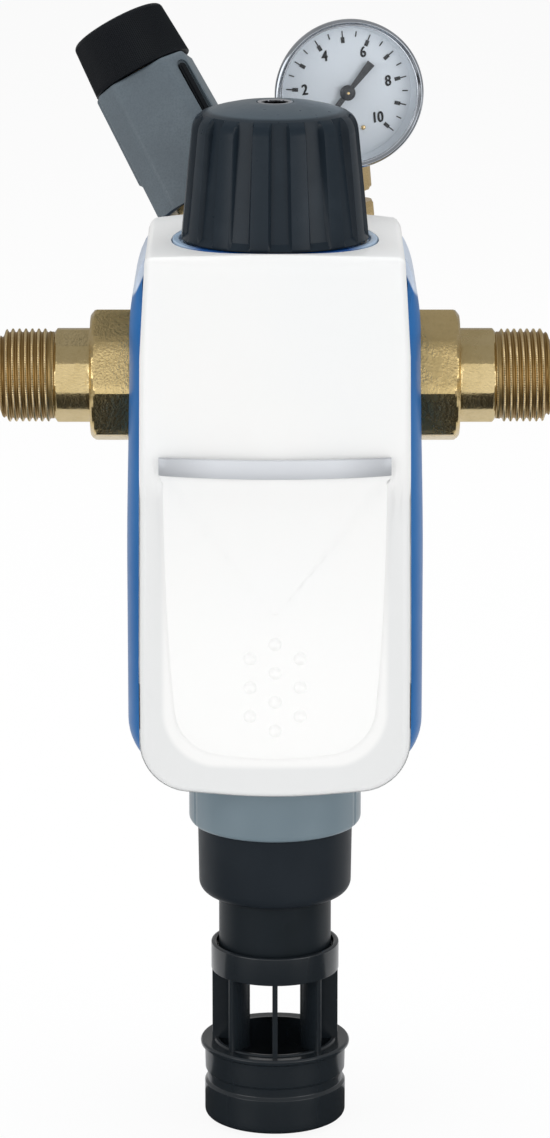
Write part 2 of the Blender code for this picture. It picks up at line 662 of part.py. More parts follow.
def make_knob():
    """A fluted cap with a flat top, a screw recess and a hub for the spindle."""
    steps = KNOB_FLUTES * 3

    def flute(depth):
        return lambda angle: depth if round(angle / math.tau * steps) % 3 == 0 else 0

    inner = KNOB_SKIRT_RADIUS - KNOB_WALL - FLUTE_DEPTH
    inner_top = KNOB_SHOULDER_RADIUS - KNOB_WALL - FLUTE_DEPTH
    socket = SPINDLE_RADIUS + GAP
    roof = KNOB_SHOULDER_Z - 2.5 * MM
    taper = (KNOB_SKIRT_RADIUS - KNOB_SHOULDER_RADIUS) / (KNOB_SHOULDER_Z - KNOB_BOTTOM_Z)
    top_edge_z = KNOB_TOP_Z - KNOB_CROWN
    stations = [
        (socket, SPINDLE_TOP_Z + GAP, 0),
        (socket, KNOB_BOTTOM_Z + 14 * MM, 0),
        (KNOB_HUB_RADIUS, KNOB_BOTTOM_Z + 14 * MM, 0),
        (KNOB_HUB_RADIUS, roof, 0),
        (inner_top, roof, 0),
        (inner, KNOB_BOTTOM_Z, 0),
        (KNOB_SKIRT_RADIUS - 0.6 * MM, KNOB_BOTTOM_Z, 0.3 * MM),
        (KNOB_SKIRT_RADIUS, KNOB_BOTTOM_Z + 1.0 * MM, 0.5 * MM),
        (KNOB_SKIRT_RADIUS - taper * 3 * MM, KNOB_BOTTOM_Z + 3.0 * MM, FLUTE_DEPTH),
        ((KNOB_SKIRT_RADIUS + KNOB_SHOULDER_RADIUS) / 2 + 0.3 * MM,
         (KNOB_BOTTOM_Z + KNOB_SHOULDER_Z) / 2, FLUTE_DEPTH),
        (KNOB_SHOULDER_RADIUS + 0.2 * MM, KNOB_SHOULDER_Z - 3 * MM, FLUTE_DEPTH),
        (KNOB_SHOULDER_RADIUS - 1.2 * MM, KNOB_SHOULDER_Z + 0.6 * MM, FLUTE_DEPTH * 0.8),
        (KNOB_TOP_RADIUS + 2.4 * MM, top_edge_z - 1.2 * MM, FLUTE_DEPTH * 0.3),
        (KNOB_TOP_RADIUS, top_edge_z, 0),
        (KNOB_TOP_RADIUS * 0.6, KNOB_TOP_Z - KNOB_CROWN * 0.34, 0),
        (KNOB_HOLE_RADIUS, KNOB_TOP_Z - 0.2 * MM, 0),
        (KNOB_HOLE_RADIUS, KNOB_TOP_Z - KNOB_HOLE_DEPTH, 0),
    ]
    rings = [circle(radius, height, steps, flute(depth)) for radius, height, depth in stations]
    lofted("knob", rings, "anthracite_plastic").location.y = FILTER_Y
    hole = KNOB_HOLE_RADIUS - GAP
    floor = KNOB_TOP_Z - KNOB_HOLE_DEPTH + GAP
    turned("knob_insert", [(0, floor), (hole, floor), (hole, KNOB_TOP_Z - 0.5 * MM), (hole - 1.6 * MM, KNOB_TOP_Z - 0.5 * MM),
                           (hole - 2.2 * MM, KNOB_TOP_Z - 2.4 * MM), (0, KNOB_TOP_Z - 2.4 * MM)],
           "steel").location.y = FILTER_Y


def make_seat_ring():
    """The blue ring that closes the gap between the cover's opening and the filter head."""
    reach = OPENING_RADIUS - 0.5 * MM
    low = HEAD_TOP_Z + GAP
    turned("seat_ring", [(SEAT_RING_BORE, low), (reach, low), (reach, SEAT_RING_TOP_Z - 0.6 * MM),
                         (reach - 0.6 * MM, SEAT_RING_TOP_Z), (SEAT_RING_BORE, SEAT_RING_TOP_Z)],
           "blue_plastic", WIDE_STEPS).location.y = FILTER_Y


def make_spindle():
    groove_z = 38 * MM
    groove = SPINDLE_RADIUS - 1.3 * MM
    turned("spindle", [(0, SPINDLE_BOTTOM_Z), (SPINDLE_RADIUS, SPINDLE_BOTTOM_Z), (SPINDLE_RADIUS, groove_z),
                       (groove, groove_z), (groove, groove_z + 2.2 * MM), (SPINDLE_RADIUS, groove_z + 2.2 * MM),
                       (SPINDLE_RADIUS, SPINDLE_TOP_Z), (0, SPINDLE_TOP_Z)], "brass").location.y = FILTER_Y
    ring_seal("spindle_o_ring", SPINDLE_RADIUS - 0.45 * MM, 0.62 * MM, groove_z + 1.1 * MM)
    bore = SPINDLE_RADIUS + GAP
    top = HEAD_TOP_Z + 3.6 * MM
    corner = BONNET_HEX_RADIUS
    bonnet = turned("spindle_bonnet", [(bore, 26 * MM), (BONNET_RADIUS, 26 * MM), (BONNET_RADIUS, HEAD_TOP_Z + GAP),
                                       (corner, HEAD_TOP_Z + GAP), (corner, top), (bore, top)], "brass")
    bonnet.location.y = FILTER_Y


def ring_seal(name, radius, thickness, height, finish="rubber"):
    """An O-ring on the filter's axis."""
    section = [(radius + thickness * math.cos(math.tau * i / 6), height + thickness * math.sin(math.tau * i / 6))
               for i in range(6)]
    turned(name, section, finish, TURN_STEPS).location.y = FILTER_Y


def flange_outline():
    """The flange between filter head and pipe module, seen along Y."""
    x, z, corner = MODULE_FLANGE_HALF_X, MODULE_FLANGE_HALF_Z, MODULE_FLANGE_CORNER
    return rounded([(x, z, corner), (-x, z, corner), (-x, -z, corner), (x, -z, corner)], 3)


def plate_along_y(name, outline, start, end, finish):
    """A flat outline seen along Y, made into a plate between two places on Y."""
    plate = prism(name, outline, -end, -start, finish)
    plate.rotation_euler.x = math.pi / 2
    return plate


def make_filter_head():
    """The head: neck and spindle bore on top, a skirt for the bowl below, and a flange to the pipe module."""
    bore = BONNET_RADIUS + GAP
    skirt = BOWL_RADIUS + 0.4 * MM
    roof = BOWL_TOP_Z + 2.3 * MM
    cavity = HEAD_CAVITY_RADIUS
    body = HEAD_BODY_RADIUS
    head = turned("filter_head", [
        (bore, HEAD_TOP_Z), (HEAD_FLANGE_RADIUS, HEAD_TOP_Z), (HEAD_FLANGE_RADIUS, HEAD_TOP_Z - 3 * MM),
        (HEAD_NECK_RADIUS, HEAD_TOP_Z - 7 * MM), (HEAD_NECK_RADIUS, 34 * MM), (body, 28 * MM),
        (body, HEAD_SKIRT_TOP_Z + 4 * MM), (HEAD_RADIUS, HEAD_SKIRT_TOP_Z), (HEAD_RADIUS, HEAD_BOTTOM_Z),
        (skirt, HEAD_BOTTOM_Z), (skirt, roof), (cavity, roof), (cavity, 16 * MM), (bore, 25 * MM)],
        "grey_plastic")
    head.location.y = FILTER_Y
    face = MODULE_FLANGE_Y - GASKET_THICKNESS - 2 * GAP
    shape_with(head, plate_along_y("head_flange_tool", flange_outline(), face - 6 * MM, face, "grey_plastic"), "UNION")
    back = rounded([(40 * MM, 60 * MM, 0), (-40 * MM, 60 * MM, 0), (-40 * MM, HEAD_SKIRT_TOP_Z + 4.2 * MM, 0),
                    (40 * MM, HEAD_SKIRT_TOP_Z + 4.2 * MM, 0)])
    shape_with(head, plate_along_y("head_back_tool", back, face, face + 20 * MM, "grey_plastic"))
    start = FILTER_Y + cavity - 8 * MM
    shape_with(head, make_ports("head_bores_tool", start, face + 2 * MM))
    shape_with(head, make_bolt_holes("head_bolt_holes_tool", face - 4.6 * MM, face + 2 * MM, BOLT_RADIUS + GAP))


def make_ports(name, start, end):
    """Two bores along Y: raw water into the filter, clean water back."""
    shape = bmesh.new()
    for side in (-1, 1):
        place = Matrix.Translation((side * MODULE_PORT_X, (start + end) / 2, 0)) @ Matrix.Rotation(math.pi / 2, 4, "X")
        bmesh.ops.create_cone(shape, cap_ends=True, segments=TURN_STEPS, radius1=MODULE_PORT_RADIUS,
                              radius2=MODULE_PORT_RADIUS, depth=end - start, matrix=place)
    return finished(name, shape, "brass")


def bolt_places():
    """Where the four bolts stand, in the flange's corners."""
    return [(x, z) for x in (-BOLT_X, BOLT_X) for z in (-BOLT_Z, BOLT_Z)]


def make_bolt_holes(name, start, end, radius):
    shape = bmesh.new()
    for x, z in bolt_places():
        place = Matrix.Translation((x, (start + end) / 2, z)) @ Matrix.Rotation(math.pi / 2, 4, "X")
        bmesh.ops.create_cone(shape, cap_ends=True, segments=TURN_STEPS // 2, radius1=radius, radius2=radius,
                              depth=end - start, matrix=place)
    return finished(name, shape, "steel")


def make_flange_bolts():
    """Cap screws that come from behind and hold the filter head on the pipe module."""
    back = MODULE_FLANGE_Y + MODULE_FLANGE_THICKNESS + GAP
    length = MODULE_FLANGE_THICKNESS + GASKET_THICKNESS + 4 * MM
    for i, (x, z) in enumerate(bolt_places(), 1):
        bolt = turned(f"flange_bolt_{i}", [(0, BOLT_HEAD), (BOLT_HEAD_RADIUS, BOLT_HEAD), (BOLT_HEAD_RADIUS, 0),
                                           (BOLT_RADIUS, 0), (BOLT_RADIUS, -length), (0, -length)], "steel", TURN_STEPS // 2)
        bolt.location = (x, back, z)
        bolt.rotation_euler.x = -math.pi / 2


def make_bowl():
    """The bowl below the head, its seal and the grey collar round its neck."""
    top = BOWL_TOP_Z
    inside = BOWL_RADIUS - BOWL_WALL
    neck_inside = BOWL_NECK_RADIUS - BOWL_WALL
    groove = BOWL_RADIUS - 1.7 * MM
    hole = VALVE_SEAT_RADIUS + GAP
    turned("filter_bowl", [
        (inside, top), (BOWL_RADIUS, top), (BOWL_RADIUS, top - 4 * MM), (groove, top - 4 * MM),
        (groove, top - 6.4 * MM), (BOWL_RADIUS, top - 6.4 * MM), (BOWL_RADIUS, BOWL_NECK_Z + 3 * MM),
        (BOWL_NECK_RADIUS, BOWL_NECK_Z), (BOWL_NECK_RADIUS, BOWL_BOTTOM_Z), (hole, BOWL_BOTTOM_Z),
        (hole, BOWL_BOTTOM_Z + BOWL_WALL), (neck_inside, BOWL_BOTTOM_Z + BOWL_WALL),
        (neck_inside, BOWL_NECK_Z + 3 * MM), (inside, BOWL_NECK_Z + 6 * MM)], "clear_plastic").location.y = FILTER_Y
    ring_seal("bowl_o_ring", BOWL_RADIUS - 0.65 * MM, 0.75 * MM, top - 5.2 * MM)
    bore = BOWL_NECK_RADIUS + GAP
    radius = COLLAR_ROUND
    outline = [(bore, BOWL_NECK_Z - GAP), (COLLAR_RADIUS, BOWL_NECK_Z - GAP)]
    for k in range(5):
        angle = math.radians(90) * k / 4
        outline.append((COLLAR_RADIUS - radius + radius * math.cos(angle),
                        COLLAR_BOTTOM_Z + radius - radius * math.sin(angle)))
    outline.append((bore, COLLAR_BOTTOM_Z))
    turned("collar_ring", outline, "collar_grey", WIDE_STEPS).location.y = FILTER_Y


def make_sieve():
    """The sieve: a moulded cage with windows, and the fine mesh inside it."""
    top = BOWL_TOP_Z + GAP
    flange = BOWL_RADIUS - 1.0 * MM
    inside = SIEVE_RADIUS - SIEVE_WALL
    rim = 3.0 * MM
    cage = turned("sieve_cage", [
        (inside, top + 1.7 * MM), (flange, top + 1.7 * MM), (flange, top), (SIEVE_RADIUS, top),
        (SIEVE_RADIUS, SIEVE_BOTTOM_Z), (ROTOR_RADIUS + 2 * MM, SIEVE_BOTTOM_Z),
        (ROTOR_RADIUS + 2 * MM, SIEVE_BOTTOM_Z + 2 * MM), (inside, SIEVE_BOTTOM_Z + 2 * MM)],
        "white_plastic", SIEVE_WINDOWS * 4)
    cage.location.y = FILTER_Y
    pitch = (top - rim - SIEVE_BOTTOM_Z - rim) / SIEVE_ROWS
    shape = bmesh.new()
    for row in range(SIEVE_ROWS):
        middle = SIEVE_BOTTOM_Z + rim + pitch * (row + 0.5)
        for i in range(SIEVE_WINDOWS):
            angle = math.tau * (i + 0.5) / SIEVE_WINDOWS
            place = Matrix.Rotation(angle, 4, "Z") @ Matrix.Translation((SIEVE_RADIUS, 0, middle))
            sides = (8 * MM, SIEVE_RADIUS * 0.78, pitch - rim)
            bmesh.ops.create_cube(shape, size=1, matrix=place @ Matrix.Diagonal((*sides, 1)))
    windows = finished("sieve_window_tool", shape, "white_plastic")
    windows.location.y = FILTER_Y
    shape_with(cage, windows)
    mesh_radius = inside - GAP
    low = SIEVE_BOTTOM_Z + 2 * MM + GAP
    turned("sieve_mesh", [(mesh_radius, low), (mesh_radius, top), (mesh_radius - MESH_THICKNESS, top),
                          (mesh_radius - MESH_THICKNESS, low)], "steel").location.y = FILTER_Y


def make_rotor():
    """The suction tube that the knob turns, with nozzles that sweep the mesh while it is flushed."""
    top = SPINDLE_BOTTOM_Z - GAP
    shoulder = 4.0 * MM
    rotor = turned("suction_rotor", [
        (0, top), (ROTOR_RADIUS, top), (ROTOR_RADIUS, ROTOR_BOTTOM_Z), (ROTOR_BORE, ROTOR_BOTTOM_Z),
        (ROTOR_BORE, top - shoulder), (0, top - shoulder)], "white_plastic")
    rotor.location.y = FILTER_Y
    reach = SIEVE_RADIUS - SIEVE_WALL - GAP - MESH_THICKNESS - 1.0 * MM
    spread = (SIEVE_BOTTOM_Z + 12 * MM, BOWL_TOP_Z - 10 * MM)
    shape = bmesh.new()
    for i in range(NOZZLES):
        height = spread[0] + (spread[1] - spread[0]) * i / (NOZZLES - 1)
        side = 1 if i % 2 else -1
        place = Matrix.Translation((side * (reach / 2 + 2 * MM), 0, height)) @ Matrix.Rotation(side * math.pi / 2, 4, "Y")
        bmesh.ops.create_cone(shape, cap_ends=True, segments=12, radius1=NOZZLE_RADIUS * 0.7,
                              radius2=NOZZLE_RADIUS, depth=reach - 4 * MM, matrix=place)
    nozzles = finished("nozzle_tool", shape, "white_plastic")
    nozzles.location.y = FILTER_Y
    shape_with(rotor, nozzles, "UNION")


def make_drain_valve():
    """The seat in the bowl's floor and the plug that the turning knob lowers to flush the filter."""
    floor = BOWL_BOTTOM_Z + BOWL_WALL
    mouth = COLLAR_BOTTOM_Z + 0.8 * MM
    turned("drain_valve_seat", [
        (VALVE_BORE, floor + 2.4 * MM), (VALVE_SEAT_RADIUS + 3 * MM, floor + 2.4 * MM),
        (VALVE_SEAT_RADIUS + 3 * MM, floor + GAP), (VALVE_SEAT_RADIUS, floor + GAP), (VALVE_SEAT_RADIUS, mouth),
        (VALVE_BORE, mouth)], "brass").location = (0, FILTER_Y, 0)
    seal_top = mouth - GAP
    seal = 1.3 * MM
    disc = VALVE_SEAT_RADIUS - 0.6 * MM
    plug_top = seal_top - seal - GAP
    turned("drain_plug_seal", [(PLUG_STEM_RADIUS + GAP, seal_top), (disc - 0.6 * MM, seal_top),
                               (disc - 0.6 * MM, seal_top - seal), (PLUG_STEM_RADIUS + GAP, seal_top - seal)],
           "rubber").location.y = FILTER_Y
    turned("drain_plug", [
        (0, plug_top - PLUG_THICKNESS), (disc - 1.5 * MM, plug_top - PLUG_THICKNESS), (disc, plug_top - 1.2 * MM),
        (disc, plug_top), (PLUG_STEM_RADIUS, plug_top), (PLUG_STEM_RADIUS, ROTOR_BOTTOM_Z + 16 * MM),
        (0, ROTOR_BOTTOM_Z + 16 * MM)], "brass").location.y = FILTER_Y


def make_drain():
    """The cup and pipe below the bowl, and the open drain funnel with its windows and spigot."""
    top = BOWL_BOTTOM_Z - GAP
    inside = CUP_RADIUS - CUP_WALL
    hole = PIPE_RADIUS + GAP
    floor = CUP_BOTTOM_Z + 3.0 * MM
    turned("drain_cup", [
        (inside, top), (CUP_RADIUS, top), (CUP_RADIUS, CUP_BOTTOM_Z + 1.4 * MM), (CUP_RADIUS - 0.4 * MM, CUP_BOTTOM_Z + 0.4 * MM),
        (CUP_RADIUS - 1.4 * MM, CUP_BOTTOM_Z), (hole, CUP_BOTTOM_Z), (hole, floor), (inside, floor)],
        "anthracite_plastic", WIDE_STEPS).location.y = FILTER_Y
    bore = PIPE_RADIUS - PIPE_WALL
    end = WINDOW_TOP_Z + GAP
    collar = PIPE_RADIUS + 3.5 * MM
    turned("drain_pipe", [
        (bore, floor + 2.6 * MM), (collar, floor + 2.6 * MM), (collar, floor + GAP), (PIPE_RADIUS, floor + GAP),
        (PIPE_RADIUS, end), (bore, end)], "anthracite_plastic").location.y = FILTER_Y
    make_funnel()


def make_funnel():
    """One moulding: top ring, eight fins with windows between them, flange and spigot."""
    ring_bore = PIPE_RADIUS + 1.0 * MM
    lip = 0.8 * MM
    ring = turned("drain_funnel", [
        (ring_bore, FUNNEL_TOP_Z), (FUNNEL_RING_RADIUS - lip, FUNNEL_TOP_Z), (FUNNEL_RING_RADIUS, FUNNEL_TOP_Z - lip),
        (FUNNEL_RING_RADIUS, WINDOW_TOP_Z), (ring_bore, WINDOW_TOP_Z)], "anthracite_plastic", WIDE_STEPS)
    ring.location.y = FILTER_Y
    bore = SPIGOT_RADIUS - SPIGOT_WALL
    throat = FUNNEL_RING_RADIUS - 2.2 * MM
    groove_low = SPIGOT_GROOVE_Z - SPIGOT_GROOVE_HEIGHT
    flange_low = WINDOW_BOTTOM_Z - FLANGE_THICKNESS
    spigot = turned("spigot_tool", [
        (throat, WINDOW_BOTTOM_Z), (FLANGE_RADIUS - 0.6 * MM, WINDOW_BOTTOM_Z), (FLANGE_RADIUS, WINDOW_BOTTOM_Z - 0.6 * MM),
        (FLANGE_RADIUS, flange_low), (SPIGOT_RADIUS, flange_low - 0.6 * MM), (SPIGOT_RADIUS, SPIGOT_GROOVE_Z),
        (SPIGOT_RADIUS - SPIGOT_GROOVE_DEPTH, SPIGOT_GROOVE_Z - 0.6 * MM),
        (SPIGOT_RADIUS - SPIGOT_GROOVE_DEPTH, groove_low + 0.6 * MM), (SPIGOT_RADIUS, groove_low),
        (SPIGOT_RADIUS, FUNNEL_BOTTOM_Z + 1.2 * MM), (SPIGOT_RADIUS - 1.2 * MM, FUNNEL_BOTTOM_Z),
        (bore, FUNNEL_BOTTOM_Z), (bore, SPIGOT_GROOVE_Z), (throat, flange_low)], "anthracite_plastic", WIDE_STEPS)
    spigot.location.y = FILTER_Y
    shape_with(ring, spigot, "UNION")
    shape = bmesh.new()
    sink = 0.5 * MM
    height = WINDOW_TOP_Z - WINDOW_BOTTOM_Z + 2 * sink
    width = FUNNEL_RING_RADIUS - 0.1 * MM - FIN_INNER_RADIUS
    for i in range(FUNNEL_FINS):
        place = Matrix.Rotation(math.tau * (i + 0.5) / FUNNEL_FINS - math.pi / 8, 4, "Z")
        place @= Matrix.Translation((FIN_INNER_RADIUS + width / 2, 0, (WINDOW_TOP_Z + WINDOW_BOTTOM_Z) / 2))
        bmesh.ops.create_cube(shape, size=1, matrix=place @ Matrix.Diagonal((width, FIN_THICKNESS, height, 1)))
    fins = finished("fins_tool", shape, "anthracite_plastic")
    fins.location.y = FILTER_Y
    below = turned("fin_trim_tool", [(0, WINDOW_TOP_Z + 2 * MM), (ring_bore, WINDOW_TOP_Z + 2 * MM),
                                     (ring_bore, WINDOW_TOP_Z), (0, WINDOW_TOP_Z)], "anthracite_plastic", WIDE_STEPS)
    below.location.y = FILTER_Y
    shape_with(ring, fins, "UNION")
    shape_with(ring, below)


def make_connection_body(reducer, gauge):
    """The brass pipe module: two threaded ends, a flange for the filter, and bosses for reducer and gauge."""
    step = BODY_END_X - BODY_THREAD_LENGTH
    body = turned("connection_body", [
        (0, -BODY_END_X), (BODY_THREAD_RADIUS, -BODY_END_X), (BODY_THREAD_RADIUS, -step), (PIPE_BODY_RADIUS, -step),
        (PIPE_BODY_RADIUS, step), (BODY_THREAD_RADIUS, step), (BODY_THREAD_RADIUS, BODY_END_X), (0, BODY_END_X)],
        "brass", WIDE_STEPS)
    body.rotation_euler.y = math.pi / 2
    back = MODULE_FLANGE_Y + MODULE_FLANGE_THICKNESS
    shape_with(body, plate_along_y("module_flange_tool", flange_outline(), MODULE_FLANGE_Y, back, "brass"), "UNION")
    neck = turned("module_neck_tool", [(0, back - 2 * MM), (MODULE_NECK_RADIUS, back - 2 * MM), (MODULE_NECK_RADIUS, 0),
                                       (0, 0)], "brass", WIDE_STEPS)
    neck.rotation_euler.x = -math.pi / 2
    shape_with(body, neck, "UNION")
    boss = turned("reducer_boss_tool", [(0, 0), (BOSS_RADIUS, 0), (BOSS_RADIUS, BOSS_TOP), (0, BOSS_TOP)],
                  "brass", TURN_STEPS, reducer)
    shape_with(body, boss, "UNION")
    stub = turned("gauge_boss_tool", [
        (0, 0), (GAUGE_BOSS_RADIUS, 0), (GAUGE_BOSS_RADIUS, GAUGE_BOSS_LENGTH), (0, GAUGE_BOSS_LENGTH)],
        "brass", parent=gauge)
    stub.location = (0, GAUGE_BOSS_TOP, STEM_DEPTH)
    stub.rotation_euler.x = math.pi / 2
    shape_with(body, stub, "UNION")
    for side in (-1, 1):
        bore = turned("pipe_bore_tool", [(0, BODY_WEB_HALF), (PIPE_BORE, BODY_WEB_HALF), (PIPE_BORE, 60 * MM),
                                         (0, 60 * MM)], "brass", TURN_STEPS)
        bore.rotation_euler.y = side * math.pi / 2
        shape_with(body, bore)
    shape_with(body, turned("boss_bore_tool", [
        (0, BOSS_BORE_FLOOR), (BOSS_BORE, BOSS_BORE_FLOOR), (BOSS_BORE, 60 * MM), (0, 60 * MM)],
        "brass", parent=reducer))
    depth = GAUGE_BOSS_TOP - GAUGE_PIPE_BOTTOM
    well = turned("gauge_bore_tool", [
        (0, -5 * MM), (GAUGE_PIPE_RADIUS + GAP, -5 * MM), (GAUGE_PIPE_RADIUS + GAP, depth + WELL_BREAKTHROUGH),
        (0, depth + WELL_BREAKTHROUGH)], "brass", parent=gauge)
    well.location = (0, GAUGE_BOSS_TOP, STEM_DEPTH)
    well.rotation_euler.x = math.pi / 2
    shape_with(body, well)
    shape_with(body, make_ports("module_bores_tool", MODULE_FLANGE_Y - 2 * MM, -5 * MM))
    shape_with(body, make_bolt_holes("module_bolt_holes_tool", MODULE_FLANGE_Y - 2 * MM, back + 2 * MM,
                                     BOLT_RADIUS + GAP))
    face = MODULE_FLANGE_Y - GAP
    reach = MODULE_PORT_X + MODULE_PORT_RADIUS + 3 * MM
    rise = MODULE_PORT_RADIUS + 3 * MM
    edge = rounded([(reach, rise, rise * 0.9), (-reach, rise, rise * 0.9), (-reach, -rise, rise * 0.9),
                    (reach, -rise, rise * 0.9)], 4)
    gasket = plate_along_y("flange_gasket", edge, face - GASKET_THICKNESS, face, "rubber")
    shape_with(gasket, make_ports("gasket_ports_tool", face - GASKET_THICKNESS - 2 * MM, face + 2 * MM))


def flats(sides, width, turn, steps):
    """How much each angle's radius loses to flat sides, from a round of the polygon's corner radius."""
    corner = width / 2 / math.cos(math.pi / sides)
    pitch = math.tau / sides

    def loss(angle):
        off = (angle - turn) % pitch - pitch / 2
        return corner - width / 2 / math.cos(off)

    return corner, loss


def make_union(name, side):
    """One side's union nut, its gasket and the threaded tailpiece, along local Z, which points out along the pipe."""
    out = Matrix.Rotation(side * math.pi / 2, 4, "Y")
    steps = 32
    turn = NUT_TURN if side > 0 else math.pi - NUT_TURN
    width = 2 * NUT_CORNER_RADIUS * math.cos(math.pi / 8)
    corner, loss = flats(8, width, turn, steps)
    bore = BODY_THREAD_RADIUS + GAP
    lip_bore = TAIL_TURNED_RADIUS + GAP
    start = NUT_OUTER_X - NUT_LIP
    angles = [turn + math.tau * i / steps for i in range(steps)]

    def ring(radius, height, shaped=False, most=1.0):
        reach = [min(radius - loss(a), most) if shaped else radius for a in angles]
        return [(r * math.cos(a), r * math.sin(a), height) for r, a in zip(reach, angles)]

    chamfer = NUT_CORNER_RADIUS * math.cos(math.pi / 8) - 0.2 * MM
    nut = lofted(f"{name}_union_nut", [
        ring(bore, NUT_INNER_X), ring(corner, NUT_INNER_X, True), ring(corner, NUT_OUTER_X - NUT_CHAMFER, True),
        ring(corner, NUT_OUTER_X, True, chamfer), ring(lip_bore, NUT_OUTER_X), ring(lip_bore, start), ring(bore, start)],
        "brass", closed=True)
    nut.matrix_world = out
    flange = start - GAP
    gasket_end = flange - TAIL_FLANGE - GAP
    gasket_start = BODY_END_X + GAP
    turned(f"{name}_gasket", [(PIPE_BORE, gasket_start), (BODY_THREAD_RADIUS - 0.5 * MM, gasket_start),
                              (BODY_THREAD_RADIUS - 0.5 * MM, gasket_end), (PIPE_BORE, gasket_end)],
           "rubber").matrix_world = out
    steps = 24
    hex_corner, hex_loss = flats(6, TAIL_HEX_FLATS, TAIL_HEX_TURN, steps)

    def tail_ring(radius, height, shaped=False):
        return circle(hex_corner, height, steps, lambda a: max(hex_loss(a), hex_corner - radius)) if shaped \
            else circle(radius, height, steps)

    tail = lofted(f"{name}_tailpiece", [
        tail_ring(PIPE_BORE, flange - TAIL_FLANGE), tail_ring(BODY_THREAD_RADIUS - GAP, flange - TAIL_FLANGE),
        tail_ring(BODY_THREAD_RADIUS - GAP, flange), tail_ring(TAIL_TURNED_RADIUS, flange),
        tail_ring(TAIL_TURNED_RADIUS, TAIL_HEX_X), tail_ring(TAIL_TURNED_RADIUS, TAIL_HEX_X + 0.3 * MM, True),
        tail_ring(TAIL_TURNED_RADIUS, TAIL_THREAD_X - 0.3 * MM, True), tail_ring(TAIL_THREAD_RADIUS - 1.2 * MM, TAIL_THREAD_X),
        tail_ring(TAIL_THREAD_RADIUS - 1.2 * MM, TAIL_THREAD_X + 1.2 * MM), tail_ring(TAIL_THREAD_RADIUS, TAIL_THREAD_X + 2 * MM),
        tail_ring(TAIL_THREAD_RADIUS, TAIL_END_X - THREAD_CHAMFER),
        tail_ring(TAIL_THREAD_RADIUS - THREAD_CHAMFER, TAIL_END_X), tail_ring(PIPE_BORE, TAIL_END_X)],
        "brass", closed=True)
    tail.matrix_world = out


def make_check_valve():
    """The backflow preventer in the inlet bore: a cage, a poppet on its stem and a return spring."""
    inward = Matrix.Translation((-CHECK_CAGE_X, 0, 0)) @ Matrix.Rotation(math.pi / 2, 4, "Y")
    radius = CHECK_CAGE_RADIUS
    start = -CHECK_CAGE_LENGTH + 4 * MM
    cage = turned("check_valve_cage", [
        (POPPET_RADIUS - 2 * MM, start), (radius, start), (radius, 4 * MM), (1.8 * MM, 4 * MM), (1.8 * MM, 2 * MM),
        (radius - 2 * MM, 2 * MM), (radius - 2 * MM, start + 2.5 * MM), (POPPET_RADIUS - 2 * MM, start + 2.5 * MM)],
        "white_plastic")
    cage.matrix_world = inward
    shape = bmesh.new()
    for i in range(4):
        angle = math.tau * (i + 0.5) / 4
        place = Matrix.Translation((math.cos(angle) * 6 * MM, math.sin(angle) * 6 * MM, 3 * MM))
        bmesh.ops.create_cone(shape, cap_ends=True, segments=TURN_STEPS // 2, radius1=2.6 * MM, radius2=2.6 * MM,
                              depth=6 * MM, matrix=place)
    holes = finished("cage_holes_tool", shape, "white_plastic")
    holes.matrix_world = inward
    shape_with(cage, holes)
    seat = start + 2.5 * MM + GAP
    turned("check_valve_poppet", [
        (0, seat), (POPPET_RADIUS, seat), (POPPET_RADIUS, seat + 1.6 * MM), (1.5 * MM, seat + 2.6 * MM),
        (1.5 * MM, 6 * MM), (0, 6 * MM)], "white_plastic").matrix_world = inward
    coil("check_valve_spring", 4.2 * MM, 0.4 * MM, 4, seat + 3.4 * MM, 1.4 * MM, inward)


def coil(name, radius, wire, turns, bottom, top, place, parent=None):
    """A compression spring along Z."""
    per_turn = 9
    curve = bpy.data.curves.new(name, "CURVE")
    curve.dimensions = "3D"
    curve.bevel_depth = wire
    curve.bevel_resolution = 1
    curve.use_fill_caps = True
    count = turns * per_turn + 1
    line = curve.splines.new("POLY")
    line.points.add(count - 1)
    for i in range(count):
        angle = math.tau * i / per_turn
        height = bottom + (top - bottom) * i / (count - 1)
        line.points[i].co = (radius * math.cos(angle), radius * math.sin(angle), height, 1)
    curve.materials.append(material("steel"))
    result = bpy.data.objects.new(name, curve)
    bpy.context.scene.collection.objects.link(result)
    result.parent = parent
    if place is not None:
        result.matrix_world = place
    return result


